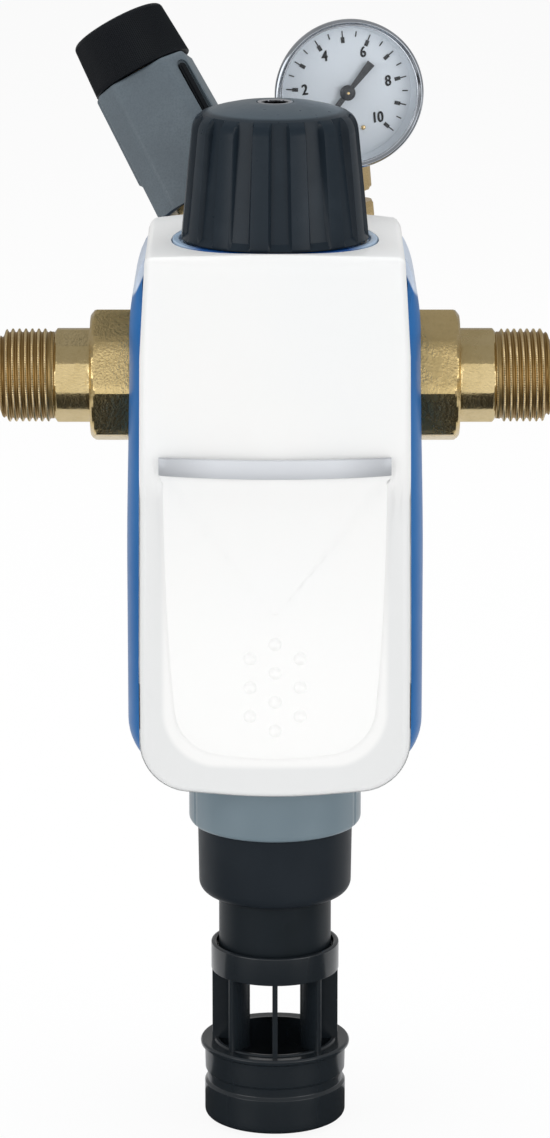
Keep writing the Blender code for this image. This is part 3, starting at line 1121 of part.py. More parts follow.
def make_reducer(reducer):
    """The pressure reducer's brass body, valve, diaphragm, spring, spring plate and adjusting screw."""
    low = BOSS_TOP - REDUCER_SOCKET
    top = REDUCER_BODY_TOP
    spigot = BOSS_BORE - GAP
    turned("reducer_body", [
        (REDUCER_SEAT_BORE, low), (spigot, low), (spigot, BOSS_TOP + GAP), (REDUCER_BODY_RADIUS, BOSS_TOP + GAP),
        (REDUCER_BODY_RADIUS, top - REDUCER_FLANGE), (REDUCER_FLANGE_RADIUS, top - REDUCER_FLANGE),
        (REDUCER_FLANGE_RADIUS, top), (REDUCER_BODY_RADIUS - 3 * MM, top), (REDUCER_BODY_RADIUS - 3 * MM, top - 8 * MM),
        (REDUCER_STEM_RADIUS + GAP, top - 8 * MM), (REDUCER_STEM_RADIUS + GAP, top - 12 * MM),
        (REDUCER_SEAT_BORE, top - 12 * MM)], "brass", TURN_STEPS, reducer)
    disc_top = low - REDUCER_STROKE - 2 * GAP
    turned("reducer_valve", [
        (0, disc_top - 2.5 * MM), (REDUCER_SEAT_BORE + 2 * MM, disc_top - 2.5 * MM), (REDUCER_SEAT_BORE + 2 * MM, disc_top),
        (REDUCER_STEM_RADIUS, disc_top), (REDUCER_STEM_RADIUS, top - REDUCER_STROKE - 1.2 * MM),
        (0, top - REDUCER_STROKE - 1.2 * MM)], "brass", parent=reducer)
    base = top + GAP
    turned("reducer_diaphragm", [(0, base), (REDUCER_FLANGE_RADIUS, base), (REDUCER_FLANGE_RADIUS, base + DIAPHRAGM_THICKNESS),
                                 (0, base + DIAPHRAGM_THICKNESS)], "rubber", parent=reducer)
    seat = base + DIAPHRAGM_THICKNESS + GAP
    turned("lower_spring_plate", [(0, seat), (SPRING_PLATE_RADIUS, seat), (SPRING_PLATE_RADIUS, seat + SPRING_PLATE),
                                  (0, seat + SPRING_PLATE)], "steel", parent=reducer)
    coil("reducer_spring", SPRING_RADIUS, SPRING_WIRE, SPRING_TURNS, seat + SPRING_PLATE + SPRING_WIRE + GAP,
         SPRING_PLATE_AT - SPRING_WIRE - GAP, None, reducer)
    thread = SCREW_RADIUS + GAP
    plate = SPRING_PLATE_AT
    turned("spring_plate", [(thread, plate), (SPRING_PLATE_RADIUS, plate), (SPRING_PLATE_RADIUS, plate + SPRING_PLATE),
                            (SCREW_RADIUS + 3 * MM, plate + SPRING_PLATE), (SCREW_RADIUS + 3 * MM, plate + 6 * MM),
                            (thread, plate + 6 * MM)], "brass", parent=reducer)
    screw_top = GRIP_TOP - GRIP_WALL - 4 * MM
    collar = HOOD_TOP + GAP
    turned("adjusting_screw", [(0, SCREW_BOTTOM), (SCREW_RADIUS, SCREW_BOTTOM), (SCREW_RADIUS, collar),
                               (SCREW_RADIUS + 2 * MM, collar), (SCREW_RADIUS + 2 * MM, screw_top), (0, screw_top)],
           "brass", parent=reducer)


def hood_section(half, height, rib):
    """An octagon-like section with a broad front flat, and a rib on its left while rib is set."""
    cut = HOOD_CORNER
    swell = HOOD_RIB if rib else 0
    side = HOOD_RIB_WIDTH / 2
    return [
        (half, -half + cut, height), (half, half - cut, height), (half - cut, half, height),
        (-half + cut, half, height), (-half, half - cut, height), (-half, side, height),
        (-half - swell, side - 1 * MM, height), (-half - swell, -side + 1 * MM, height), (-half, -side, height),
        (-half, -half + cut, height), (-half + cut, -half, height), (half - cut, -half, height)]


def make_hood(reducer):
    """The grey spring hood: flat facets, a rib that ends in a step, and a slot with a rail on its right."""
    seat = HOOD_BOTTOM
    taper = (HOOD_BOTTOM_HALF - HOOD_TOP_HALF) / (HOOD_TOP - seat)

    def half(at):
        return HOOD_BOTTOM_HALF - taper * (at - seat) - HOOD_RIB

    rings = [hood_section(half(seat), seat, False), hood_section(half(HOOD_STEP), HOOD_STEP, False),
             hood_section(half(HOOD_STEP), HOOD_STEP + 0.4 * MM, True),
             hood_section(half(HOOD_TOP), HOOD_TOP - 1.0 * MM, True),
             hood_section(half(HOOD_TOP) - 0.8 * MM, HOOD_TOP, True)]
    hood = lofted("reducer_hood", rings, "grey_plastic", parent=reducer)
    flange = REDUCER_FLANGE_RADIUS + GAP
    bore = turned("hood_bore_tool", [
        (0, seat - 2 * MM), (flange, seat - 2 * MM), (flange, REDUCER_BODY_TOP + DIAPHRAGM_THICKNESS + 2 * GAP),
        (HOOD_BORE, REDUCER_BODY_TOP + DIAPHRAGM_THICKNESS + 2 * GAP), (HOOD_BORE, HOOD_TOP - 7 * MM),
        (SCREW_RADIUS + GAP, HOOD_TOP - 7 * MM), (SCREW_RADIUS + GAP, HOOD_TOP + 2 * MM), (0, HOOD_TOP + 2 * MM)],
        "grey_plastic", TURN_STEPS, reducer)
    shape_with(hood, bore)
    length = (HOOD_SLOT_TOP - HOOD_SLOT_BOTTOM) / 2
    middle = (HOOD_SLOT_TOP + HOOD_SLOT_BOTTOM) / 2
    ends = rounded([(-HOOD_SLOT_WIDTH / 2, -length, 2.4 * MM), (HOOD_SLOT_WIDTH / 2, -length, 2.4 * MM),
                    (HOOD_SLOT_WIDTH / 2, length, 2.4 * MM), (-HOOD_SLOT_WIDTH / 2, length, 2.4 * MM)], 3)
    slot = prism("hood_slot_tool", ends, 0, 6 * MM, "grey_plastic", parent=reducer)
    facet = (half(middle) * 2 - HOOD_CORNER) / math.sqrt(2) - HOOD_SLOT_DEPTH
    slot.matrix_local = Matrix.Rotation(math.radians(-45), 4, "Z") @ Matrix.Translation((facet, 0, middle)) \
        @ Matrix(((0, 0, 1, 0), (1, 0, 0, 0), (0, 1, 0, 0), (0, 0, 0, 1)))
    shape_with(hood, slot)


def make_grip(reducer):
    """The black grip that turns the adjusting screw."""
    low = HOOD_TOP + GAP
    inner_low = GRIP_BOTTOM_RADIUS - GRIP_WALL
    inner_top = GRIP_TOP_RADIUS - GRIP_WALL
    screw = SCREW_RADIUS + 2 * MM + GAP
    roof = GRIP_TOP - GRIP_WALL
    outline = [(0, GRIP_TOP)]
    for k in range(4):
        angle = math.radians(90) * (3 - k) / 3
        outline.append((GRIP_TOP_RADIUS - GRIP_ROUND + GRIP_ROUND * math.cos(angle),
                        GRIP_TOP - GRIP_ROUND + GRIP_ROUND * math.sin(angle)))
    outline += [(GRIP_BOTTOM_RADIUS, low + 0.6 * MM), (GRIP_BOTTOM_RADIUS - 0.4 * MM, low), (inner_low, low),
                (inner_top, roof), (screw + 3 * MM, roof), (screw + 3 * MM, low + 2 * MM), (screw, low + 2 * MM),
                (screw, roof - 3 * MM), (0, roof - 3 * MM)]
    turned("reducer_grip", outline, "black_plastic", WIDE_STEPS, reducer)


def square(half):
    """A square with rounded corners."""
    corner = 1.2 * MM
    return rounded([(half, half, corner), (-half, half, corner), (-half, -half, corner), (half, -half, corner)], 2)


def make_gauge_case(gauge):
    """The metal case, its bezel, the window and the dial."""
    inside = CASE_RADIUS - CASE_WALL
    case = turned("gauge_case", [
        (0, CASE_BACK), (CASE_RADIUS - 1.5 * MM, CASE_BACK), (CASE_RADIUS, CASE_BACK + 1.5 * MM),
        (CASE_RADIUS, CASE_FRONT), (inside, CASE_FRONT), (inside, CASE_BACK + CASE_WALL), (0, CASE_BACK + CASE_WALL)],
        "steel", WIDE_STEPS, gauge)
    slot = prism("case_hole_tool", square(SHANK_FLATS / 2 + GAP), 0, CASE_HOLE_LENGTH, "steel", parent=gauge)
    slot.location = (0, CASE_HOLE_START - CASE_RADIUS, STEM_DEPTH)
    slot.rotation_euler.x = math.pi / 2
    shape_with(case, slot)
    start = CASE_FRONT + GAP
    groove = start + 0.4 * MM
    turned("gauge_bezel", [
        (BEZEL_BORE, groove + WINDOW_THICKNESS + 2 * GAP), (BEZEL_BORE + 0.9 * MM, groove + WINDOW_THICKNESS + 2 * GAP),
        (BEZEL_BORE + 0.9 * MM, start), (BEZEL_RADIUS, start), (BEZEL_RADIUS, BEZEL_FRONT - 0.8 * MM),
        (BEZEL_RADIUS - 0.5 * MM, BEZEL_FRONT), (BEZEL_BORE + 0.4 * MM, BEZEL_FRONT)], "steel", WIDE_STEPS, gauge)
    glass = BEZEL_BORE + 0.6 * MM
    turned("gauge_window", [(0, groove + GAP), (glass, groove + GAP), (glass, groove + GAP + WINDOW_THICKNESS),
                            (0, groove + GAP + WINDOW_THICKNESS)], "clear_plastic", WIDE_STEPS, gauge)
    dial = inside - GAP
    turned("gauge_dial", [(PINION_RADIUS + 0.4 * MM, -DIAL_THICKNESS), (dial, -DIAL_THICKNESS), (dial, 0),
                          (PINION_RADIUS + 0.4 * MM, 0)], "dial_white", WIDE_STEPS, gauge)


def make_pointer(gauge):
    """The pointer, widest at its tip, with a round hub on the shaft that carries the pinion behind the dial."""
    angle = -POINTER_SHOWN
    left = [(-POINTER_TIP_HALF, POINTER_LENGTH)]
    for turn in range(15, 166, 30):
        left.append((-POINTER_HUB * math.sin(math.radians(turn)), POINTER_HUB * math.cos(math.radians(turn))))
    left.append((-POINTER_TAIL_HALF, -POINTER_TAIL))
    outline = left + [(-x, y) for x, y in reversed(left)]
    top = POINTER_HEIGHT + POINTER_THICKNESS
    pointer = prism("gauge_pointer", outline, POINTER_HEIGHT, top, "pointer_black", parent=gauge)
    pointer.rotation_euler.z = angle
    shaft_top = POINTER_HEIGHT - GAP
    low = -DIAL_THICKNESS - MOVEMENT_GAP - PLATE_THICKNESS
    teeth = []
    for i in range(PINION_TEETH * 2):
        radius = PINION_RADIUS if i % 2 else PINION_RADIUS * 0.7
        turn = math.tau * (i + 0.5) / (PINION_TEETH * 2)
        teeth.append((radius * math.cos(turn), radius * math.sin(turn)))
    pinion = prism("gauge_pinion", teeth, low, shaft_top, "brass", parent=gauge)
    pinion.rotation_euler.z = angle


def make_movement(gauge):
    """The movement behind the dial: plate, toothed sector, link, Bourdon tube and the socket that carries them."""
    plate_top = -DIAL_THICKNESS - MOVEMENT_GAP - PLATE_THICKNESS - GAP
    plate = [(-9 * MM, -13 * MM), (9 * MM, -13 * MM), (6 * MM, 4 * MM), (-6 * MM, 4 * MM)]
    prism("movement_plate", plate, plate_top - PLATE_THICKNESS, plate_top, "brass", parent=gauge)
    sector_z = -DIAL_THICKNESS - MOVEMENT_GAP + 0.4 * MM
    pivot = -(SECTOR_RADIUS + PINION_RADIUS + 0.5 * MM)
    outline = [(-2.0 * MM, -2.0 * MM), (2.0 * MM, -2.0 * MM)]
    count = SECTOR_TEETH * 2
    for i in range(count + 1):
        turn = math.pi / 2 + SECTOR_SPAN * (i / count - 0.5)
        radius = SECTOR_RADIUS if i % 2 else SECTOR_RADIUS - 0.8 * MM
        outline.append((radius * math.cos(turn), radius * math.sin(turn)))
    sector = prism("gauge_sector", outline, sector_z, sector_z + 1.0 * MM, "brass", parent=gauge)
    sector.location = (0, pivot, 0)
    span = math.radians(250)
    curve = bpy.data.curves.new("bourdon_tube", "CURVE")
    curve.dimensions = "3D"
    curve.bevel_depth = BOURDON_TUBE
    curve.bevel_resolution = 1
    curve.use_fill_caps = True
    line = curve.splines.new("POLY")
    steps = 24
    line.points.add(steps)
    depth = -10.6 * MM
    for i in range(steps + 1):
        turn = math.radians(-78) + span * i / steps
        line.points[i].co = (BOURDON_RADIUS * math.cos(turn), BOURDON_RADIUS * math.sin(turn), depth, 1)
    curve.materials.append(material("brass"))
    tube = bpy.data.objects.new("bourdon_tube", curve)
    bpy.context.scene.collection.objects.link(tube)
    tube.parent = gauge
    end = math.radians(-78) + span
    tip = Vector((BOURDON_RADIUS * math.cos(end), BOURDON_RADIUS * math.sin(end)))
    heel = Vector((-1.5 * MM, pivot - 0.5 * MM))
    along = (heel - tip).normalized()
    side = Vector((-along.y, along.x)) * 0.9 * MM
    link = [tip + along * 0.6 * MM + side, tip + along * 0.6 * MM - side, heel - side, heel + side]
    top = depth + BOURDON_TUBE + GAP
    prism("gauge_link", link, top, top + 0.8 * MM, "brass", parent=gauge)
    make_gauge_stem(gauge, depth, plate_top - PLATE_THICKNESS)


def make_gauge_stem(gauge, tube_depth, plate_back):
    """The brass shank with its square, the eight-sided block below it and the pipe down to the module."""
    upper = -(BOURDON_RADIUS + BOURDON_TUBE + GAP)
    shank = prism("gauge_shank", square(SHANK_FLATS / 2), 0, SHANK_BOTTOM - upper, "brass", parent=gauge)
    stand = Matrix.Translation((0, upper, STEM_DEPTH)) @ Matrix.Rotation(-math.pi / 2, 4, "X")
    shank.matrix_local = stand
    neck = turned("shank_neck_tool", [(0, SHANK_BOTTOM - upper + 1 * MM), (GAUGE_PIPE_RADIUS, SHANK_BOTTOM - upper + 1 * MM),
                                      (GAUGE_PIPE_RADIUS, BLOCK_TOP + GAP - upper), (0, BLOCK_TOP + GAP - upper)],
                  "brass", parent=gauge)
    neck.matrix_local = stand
    shape_with(shank, neck, "UNION")
    stand = Matrix.Translation((0, 0, STEM_DEPTH)) @ Matrix.Rotation(-math.pi / 2, 4, "X")
    block = prism("gauge_adapter", polygon(8, BLOCK_FLATS, math.pi / 8), BLOCK_TOP - BLOCK_HEIGHT, BLOCK_TOP, "brass", parent=gauge)
    block.matrix_local = stand
    pipe = turned("adapter_pipe_tool", [(0, GAUGE_PIPE_BOTTOM), (GAUGE_PIPE_RADIUS, GAUGE_PIPE_BOTTOM),
                                        (GAUGE_PIPE_RADIUS, BLOCK_TOP - 1 * MM), (0, BLOCK_TOP - 1 * MM)],
                  "brass", parent=gauge)
    pipe.matrix_local = stand
    shape_with(block, pipe, "UNION")


def make_frames():
    """Empties at the reducer's axis and at the dial's centre, which carry the pieces built round them."""
    reducer = bpy.data.objects.new("reducer_frame", None)
    up = Vector((-math.sin(REDUCER_LEFT) * math.cos(REDUCER_BACK), math.sin(REDUCER_BACK),
                 math.cos(REDUCER_LEFT) * math.cos(REDUCER_BACK)))
    across = Vector((math.cos(REDUCER_LEFT), 0, math.sin(REDUCER_LEFT)))
    behind = up.cross(across)
    turn = Matrix((across, behind, up)).transposed().to_4x4()
    reducer.matrix_world = Matrix.Translation((REDUCER_X, 0, 0)) @ turn
    gauge = bpy.data.objects.new("gauge_frame", None)
    facing = Vector((math.sin(GAUGE_YAW), -math.cos(GAUGE_YAW), 0))
    right = Vector((math.cos(GAUGE_YAW), math.sin(GAUGE_YAW), 0))
    lean = Matrix.Rotation(GAUGE_ROLL, 4, facing)
    turn = Matrix((right, Vector((0, 0, 1)), facing)).transposed().to_4x4()
    gauge.matrix_world = Matrix.Translation(Vector((GAUGE_X, GAUGE_Y, GAUGE_Z))) @ lean @ turn
    for frame in (reducer, gauge):
        bpy.context.scene.collection.objects.link(frame)
    return reducer, gauge


def main():
    for old in list(bpy.data.objects):
        bpy.data.objects.remove(old, do_unlink=True)
    reducer, gauge = make_frames()
    passage = make_front_cover()
    make_trim_bar()
    make_rear_shell(passage, reducer, gauge)
    make_knob()
    make_seat_ring()
    make_spindle()
    make_filter_head()
    make_flange_bolts()
    make_bowl()
    make_sieve()
    make_rotor()
    make_drain_valve()
    make_drain()
    make_connection_body(reducer, gauge)
    for name, side in (("inlet", -1), ("outlet", 1)):
        make_union(name, side)
    make_check_valve()
    make_reducer(reducer)
    make_hood(reducer)
    make_grip(reducer)
    make_gauge_case(gauge)
    make_pointer(gauge)
    make_movement(gauge)
    bpy.context.view_layer.update()


main()
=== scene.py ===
"""Dresses the water station: finishes for every solid, and fine pieces for what the eye meets first.

Metres. X runs along the pipe, Z is up and the cover faces -Y.
"""

import json
import math

import bmesh
import bpy
from mathutils import Matrix, Vector

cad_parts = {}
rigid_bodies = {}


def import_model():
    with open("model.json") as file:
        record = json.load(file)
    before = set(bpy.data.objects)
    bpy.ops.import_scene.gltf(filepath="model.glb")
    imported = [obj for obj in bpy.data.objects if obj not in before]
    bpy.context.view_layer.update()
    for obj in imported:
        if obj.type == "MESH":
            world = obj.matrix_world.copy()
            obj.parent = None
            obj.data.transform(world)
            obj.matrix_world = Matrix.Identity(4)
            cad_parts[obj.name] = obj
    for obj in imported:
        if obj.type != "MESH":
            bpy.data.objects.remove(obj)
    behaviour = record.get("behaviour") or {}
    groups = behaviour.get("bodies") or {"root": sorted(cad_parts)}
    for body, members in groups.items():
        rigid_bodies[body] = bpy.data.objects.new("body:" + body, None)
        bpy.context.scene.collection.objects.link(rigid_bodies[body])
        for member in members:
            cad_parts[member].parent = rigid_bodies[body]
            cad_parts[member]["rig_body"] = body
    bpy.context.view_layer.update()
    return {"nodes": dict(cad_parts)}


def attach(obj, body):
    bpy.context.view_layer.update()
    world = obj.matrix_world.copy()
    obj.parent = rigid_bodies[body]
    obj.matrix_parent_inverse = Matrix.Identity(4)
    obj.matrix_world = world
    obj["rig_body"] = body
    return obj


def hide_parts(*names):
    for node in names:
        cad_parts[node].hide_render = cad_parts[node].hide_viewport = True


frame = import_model()

MM = 0.001


def mm(points):
    """Points given in millimetres, made metres."""
    return [tuple(value * MM for value in point) for point in points]


FILTER_Y = -45.0 * MM
FILTER_AXIS = Matrix.Translation((0, FILTER_Y, 0))
REDUCER_LEFT = math.radians(29.3)
REDUCER_BACK = math.radians(16.0)
REDUCER_X = 10.5 * MM
GAUGE_PLACE = Vector((25.5, 9.0, 100.3)) * MM
GAUGE_YAW = math.radians(9)
GAUGE_ROLL = math.radians(5)

COVER_TOP_Z = 58.6 * MM
COVER_TOP_DROP = 2.2 * MM
COVER_TOP_HALF = 44.4 * MM
COVER_UPPER_HALF = 46.2 * MM
COVER_LOWER_HALF = 47.0 * MM
COVER_BOTTOM_Z = -131.0 * MM
COVER_BOTTOM_RISE = 2.4 * MM
COVER_CORNER_RADIUS = 17.0 * MM
COVER_EDGE_RADIUS = 2.5 * MM
COVER_WALL = 2.2 * MM
COVER_BACK_Y = -52.0 * MM
COVER_TOP_BACK_Y = 1.0 * MM
COVER_SWEEP_Z = 22.0 * MM
COVER_SWEEP_TOP_Z = 53.4 * MM
COVER_BACK_CORNER = 17.0 * MM
COVER_BACK_RISE = 2.0 * MM
SWEEP_STEPS = 20
OPENING_RADIUS = 35.9 * MM
FACE_TOP_Y = -84.0 * MM
FACE_SLOPE = 0.0917
FACE_CURVE = 0.229
FACE_BULGE = 5.7 * MM
BORDER_DROP = 2.6 * MM
PANEL_TOP_HALF = 39.2 * MM
PANEL_LOW_HALF = 36.8 * MM
PANEL_TOP_Z = -14.0 * MM
PANEL_LOW_Z = -85.0 * MM
PANEL_BOTTOM_Z = -117.4 * MM
PANEL_CORNER_RADIUS = 17.0 * MM
PANEL_STEP = 0.7 * MM
BAR_HALF = 39.7 * MM
BAR_Z = -14.1 * MM
BAR_HEIGHT = 6.2 * MM
BAR_BOW = 0.5 * MM
SHELL_TOP_Z = 48.5 * MM
SHELL_TOP_HALF = 44.8 * MM
SHELL_TOP_CORNER = 8.0 * MM
SHELL_SHOULDER_HALF = 50.9 * MM
SHELL_HALF = 52.2 * MM
SHELL_BOTTOM_Z = -136.0 * MM
SHELL_CORNER_RADIUS = 20.0 * MM
SHELL_FLARE = 16.0 * MM
SHELL_BACK_Y = 34.0 * MM
SHELL_BACK_RADIUS = 5.5 * MM
SHELL_WALL = 2.2 * MM
SHELL_TOP_CLEARANCE = 3.0 * MM
SHEEN_Z = 37.0 * MM


class Value:
    """A number in a material's node tree, which takes Python's arithmetic."""

    def __init__(self, finish, socket):
        self.finish = finish
        self.socket = socket

    def math(self, operation, *others):
        return self.finish.node("Math", {"operation": operation}, dict(enumerate((self, *others))))

    def __add__(self, other):
        return self.math("ADD", other)

    def __sub__(self, other):
        return self.math("SUBTRACT", other)

    def __mul__(self, other):
        return self.math("MULTIPLY", other)

    def __truediv__(self, other):
        return self.math("DIVIDE", other)

    def __pow__(self, other):
        return self.math("POWER", other)

    def __mod__(self, other):
        return self.math("FLOORED_MODULO", other)

    def __gt__(self, other):
        return self.math("GREATER_THAN", other)

    def __rsub__(self, other):
        return self * -1 + other

    __radd__ = __add__
    __rmul__ = __mul__

    def between(self, low, high):
        """0 below low, 1 above high and a smooth step from one to the other."""
        return self.finish.node("MapRange", {"interpolation_type": "SMOOTHSTEP", "clamp": True},
                                {"Value": self, "From Min": low, "From Max": high})


class Finish:
    """One surface: a Principled shader and the nodes that vary it."""

    def __init__(self, name, roughness=0.4, metallic=0.0, **constants):
        self.material = bpy.data.materials.new(name)
        self.material.use_nodes = True
        self.tree = self.material.node_tree
        self.shader = self.tree.nodes["Principled BSDF"]
        self.shader.inputs["Roughness"].default_value = roughness
        self.shader.inputs["Metallic"].default_value = metallic
        for socket, value in constants.items():
            self.shader.inputs[socket.replace("_", " ")].default_value = value

    def node(self, kind, settings=None, inputs=None, output=0):
        """Adds a node, sets it up, and gives one of its outputs."""
        node = self.tree.nodes.new("ShaderNode" + kind)
        for key, value in (settings or {}).items():
            if key == "stops":
                self.set_stops(node.color_ramp.elements, value)
            else:
                setattr(node, key, value)
        for key, value in (inputs or {}).items():
            self.feed(node.inputs[key], value)
        return Value(self, node.outputs[output])

    def feed(self, socket, value):
        if isinstance(value, Value):
            self.tree.links.new(value.socket, socket)
        else:
            socket.default_value = value

    def set_stops(self, elements, stops):
        elements[0].position, elements[0].color = stops[0]
        elements[1].position, elements[1].color = stops[-1]
        for position, color in stops[1:-1]:
            elements.new(position).color = color

    def place(self, scale=(1, 1, 1), rotation=(0, 0, 0), location=(0, 0, 0)):
        """The point on the piece, in metres, after a scale, a turn and a shift."""
        spot = self.node("TexCoord", output=3)
        if scale == (1, 1, 1) and rotation == (0, 0, 0) and location == (0, 0, 0):
            return spot
        moves = {"Vector": spot, "Location": location, "Rotation": rotation, "Scale": scale}
        return self.node("Mapping", None, moves)

    def axes(self, **shift):
        """The three coordinates of the point on the piece."""
        spot = self.place(**shift)
        return [self.node("SeparateXYZ", None, {"Vector": spot}, i) for i in range(3)]

    def noise(self, scale, detail=3, rough=0.5, stretch=(1, 1, 1), **settings):
        return self.node("TexNoise", settings, {"Vector": self.place(scale=stretch), "Scale": scale,
                                                "Detail": detail, "Roughness": rough})

    def mix(self, share, first, second):
        return self.node("Mix", {"data_type": "RGBA"}, {0: share, 6: first, 7: second}, output=2)

    def surface(self, **links):
        for socket, value in links.items():
            self.feed(self.shader.inputs[socket.replace("_", " ")], value)
        return self

    def bump(self, height, strength=0.3, distance=0.0001):
        normal = self.node("Bump", None, {"Height": height, "Strength": strength, "Distance": distance})
        return self.surface(Normal=normal)


def seen(red, green, blue):
    """A colour as it is seen, from 0 to 255, made linear."""
    parts = [value / 255 for value in (red, green, blue)]
    return (*[p / 12.92 if p <= 0.04045 else ((p + 0.055) / 1.055) ** 2.4 for p in parts], 1)


def moulded(name, colour, other, roughness, grain=2600, depth=0.12, patches=18, **constants):
    """Moulded plastic: a slow drift of colour and gloss, and the fine grain of the mould."""
    finish = Finish(name, roughness, **constants)
    drift = finish.noise(patches, 2).between(0.35, 0.65)
    grain_height = finish.noise(grain, 2, 0.6)
    finish.surface(Base_Color=finish.mix(drift, seen(*colour), seen(*other)))
    finish.surface(Roughness=finish.noise(grain / 12, 3) * 0.1 + (roughness - 0.05))
    return finish.bump(grain_height, depth, 0.00006)


def make_white():
    """The cover's white, with painted shade greying the border round the panel and painted light brightening
    the face towards the bottom.
    """
    finish = Finish("cover_white", 0.34, Coat_Weight=0.1, Coat_Roughness=0.25)
    x, y, z = finish.axes()
    corner = PANEL_CORNER_RADIUS
    beside = (x.math("ABSOLUTE") - (PANEL_LOW_HALF - corner)).math("MAXIMUM", 0)
    below = (z * -1 + (PANEL_BOTTOM_Z + corner)).math("MAXIMUM", 0)
    away = (beside * beside + below * below).math("SQRT") - corner
    # painted shade: the border round the panel is greyed where it slopes away
    in_front = (z * -1).between(0.016, 0.034) * (y * -1).between(0.06, 0.075)
    border_shade_share = away.between(0.6 * MM, 3 * MM) * in_front
    drift = finish.noise(14, 2).between(0.35, 0.65)
    # painted light: the white brightens towards the bottom of the face
    plain = finish.mix(z.between(-0.01, -0.1), finish.mix(drift, seen(242, 242, 241), seen(240, 241, 241)),
                       seen(249, 249, 248))
    finish.surface(Base_Color=finish.mix(border_shade_share, plain, seen(233, 234, 234)),
                   Roughness=finish.noise(180, 3) * 0.1 + 0.29)
    return finish.bump(finish.noise(2200, 2, 0.6), 0.04, 0.00006)


def make_blue():
    """The shell's blue, with a painted pale reflection above a slanted line across its shoulder."""
    finish = Finish("shell_blue", 0.34, Specular_IOR_Level=0.12)
    x, _, z = finish.axes()
    drift = finish.noise(16, 2).between(0.35, 0.65)
    deep = finish.mix(drift, seen(52, 110, 171), seen(45, 103, 164))
    # painted reflection: above this slanted line the blue turns pale, on every side of the shell
    painted_sheen_line = z + (x.math("ABSOLUTE") - 0.0478) * 1.75
    finish.surface(Base_Color=finish.mix(painted_sheen_line.between(SHEEN_Z, SHEEN_Z + 0.0012), deep, seen(206, 218, 235)),
                   Roughness=finish.noise(200, 3) * 0.1 + 0.29)
    return finish.bump(finish.noise(2400, 2, 0.6), 0.06, 0.00006)


def make_ring_blue():
    """Glossy blue, with a painted pale reflection towards the ring's sides."""
    finish = Finish("seat_blue", 0.22, Specular_IOR_Level=0.4)
    across = finish.axes()[0].math("ABSOLUTE")
    drift = finish.noise(16, 2).between(0.35, 0.65)
    deep = finish.mix(drift, seen(12, 78, 148), seen(8, 70, 138))
    # painted reflection: the blue pales towards the ring's sides
    finish.surface(Base_Color=finish.mix(across.between(0.024, 0.033) * 0.75, deep, seen(190, 214, 234)),
                   Roughness=finish.noise(200, 3) * 0.08 + 0.18)
    return finish.bump(finish.noise(2400, 2), 0.05, 0.00006)


def make_anthracite():
    """The knob's dark plastic, with finger wear where it is gripped and a painted highlight that pales its
    top.
    """
    finish = Finish("knob_anthracite", 0.34, Specular_IOR_Level=0.15)
    rub = finish.noise(60, 4).between(0.45, 0.75)
    base = finish.mix(rub, seen(31, 40, 48), seen(37, 46, 54))
    height = finish.axes()[2]
    # painted highlight: the top of the knob is made paler
    finish.surface(Base_Color=finish.mix(height.between(0.1016, 0.1024) * 0.5, base, seen(88, 101, 110)),
                   Roughness=finish.noise(300, 3) * 0.12 + 0.24)
    return finish.bump(finish.noise(3200, 2, 0.65), 0.15, 0.00006)


def make_silver():
    """Silver lacquer brushed along the bar, a little darker towards its ends."""
    finish = Finish("bar_silver", 0.34, 0.25)
    ends = finish.axes()[0].math("ABSOLUTE").between(0.018, 0.041)
    brush = finish.noise(900, 3, 0.6, (0.04, 1, 1.6))
    tone = finish.mix(ends, seen(213, 216, 221), seen(178, 181, 186))
    finish.surface(Base_Color=tone, Roughness=brush * 0.2 + 0.24)
    return finish.bump(brush, 0.1, 0.00004)


def make_brass(name="cast_brass", grain=1100, depth=0.8, bright=(214, 190, 137), dull=(176, 152, 100),
               ripple=0.0, roughness=0.22):
    """Pressed and shot-blasted brass: a hammered grain, with duller patches and slanted ripples."""
    finish = Finish(name, roughness, 1.0)
    patch = finish.noise(46, 4, 0.6).between(0.4, 0.7)
    pits = finish.noise(grain, 3, 0.6)
    slanted = finish.place(rotation=(0, ripple, 0), scale=(1, 1, 0.22))
    waves = finish.node("TexNoise", None, {"Vector": slanted, "Scale": grain * 0.55, "Detail": 2,
                                           "Roughness": 0.5})
    hammered = pits * 0.55 + waves * 0.45
    tarnish = hammered.between(0.52, 0.3) * 0.3
    metal = finish.mix(patch, seen(*bright), seen(*[(b * 2 + d) // 3 for b, d in zip(bright, dull)]))
    finish.surface(Base_Color=finish.mix(tarnish, metal, seen(*dull)), Roughness=patch * 0.08 + roughness)
    return finish.bump(hammered, depth, 0.00035)


def make_turned_brass():
    """Machined brass with turning marks round the pipe."""
    finish = Finish("turned_brass", 0.28, 1.0)
    marks = finish.noise(1500, 2, 0.6, (1, 0.03, 0.03))
    patch = finish.noise(90, 3).between(0.4, 0.7)
    finish.surface(Base_Color=finish.mix(patch, seen(204, 180, 128), seen(176, 150, 98)),
                   Roughness=marks * 0.22 + 0.2)
    return finish.bump(marks, 0.18, 0.00006)


def make_thread_brass():
    """Cut thread: bright, nicked crests and brown roots."""
    finish = Finish("thread_brass", 0.3, 1.0)
    _, y, z = finish.axes()
    radius = (y * y + z * z).math("SQRT")
    crest = radius.between(15.5 * MM, 16.3 * MM)
    beads = (y.math("ARCTAN2", z) * 124).math("SINE").between(-0.7, 0.5)
    fleck = finish.noise(1400, 3, 0.7).between(0.35, 0.7)
    metal = finish.mix(fleck, seen(246, 224, 178), seen(222, 196, 144))
    nicked = finish.mix(beads * 0.6 + 0.4, seen(186, 160, 108), metal)
    finish.surface(Base_Color=finish.mix(crest, seen(172, 145, 96), nicked), Roughness=0.42 - crest * 0.14)
    return finish.bump(finish.noise(2200, 2) + beads * 0.8, 0.3, 0.00008)


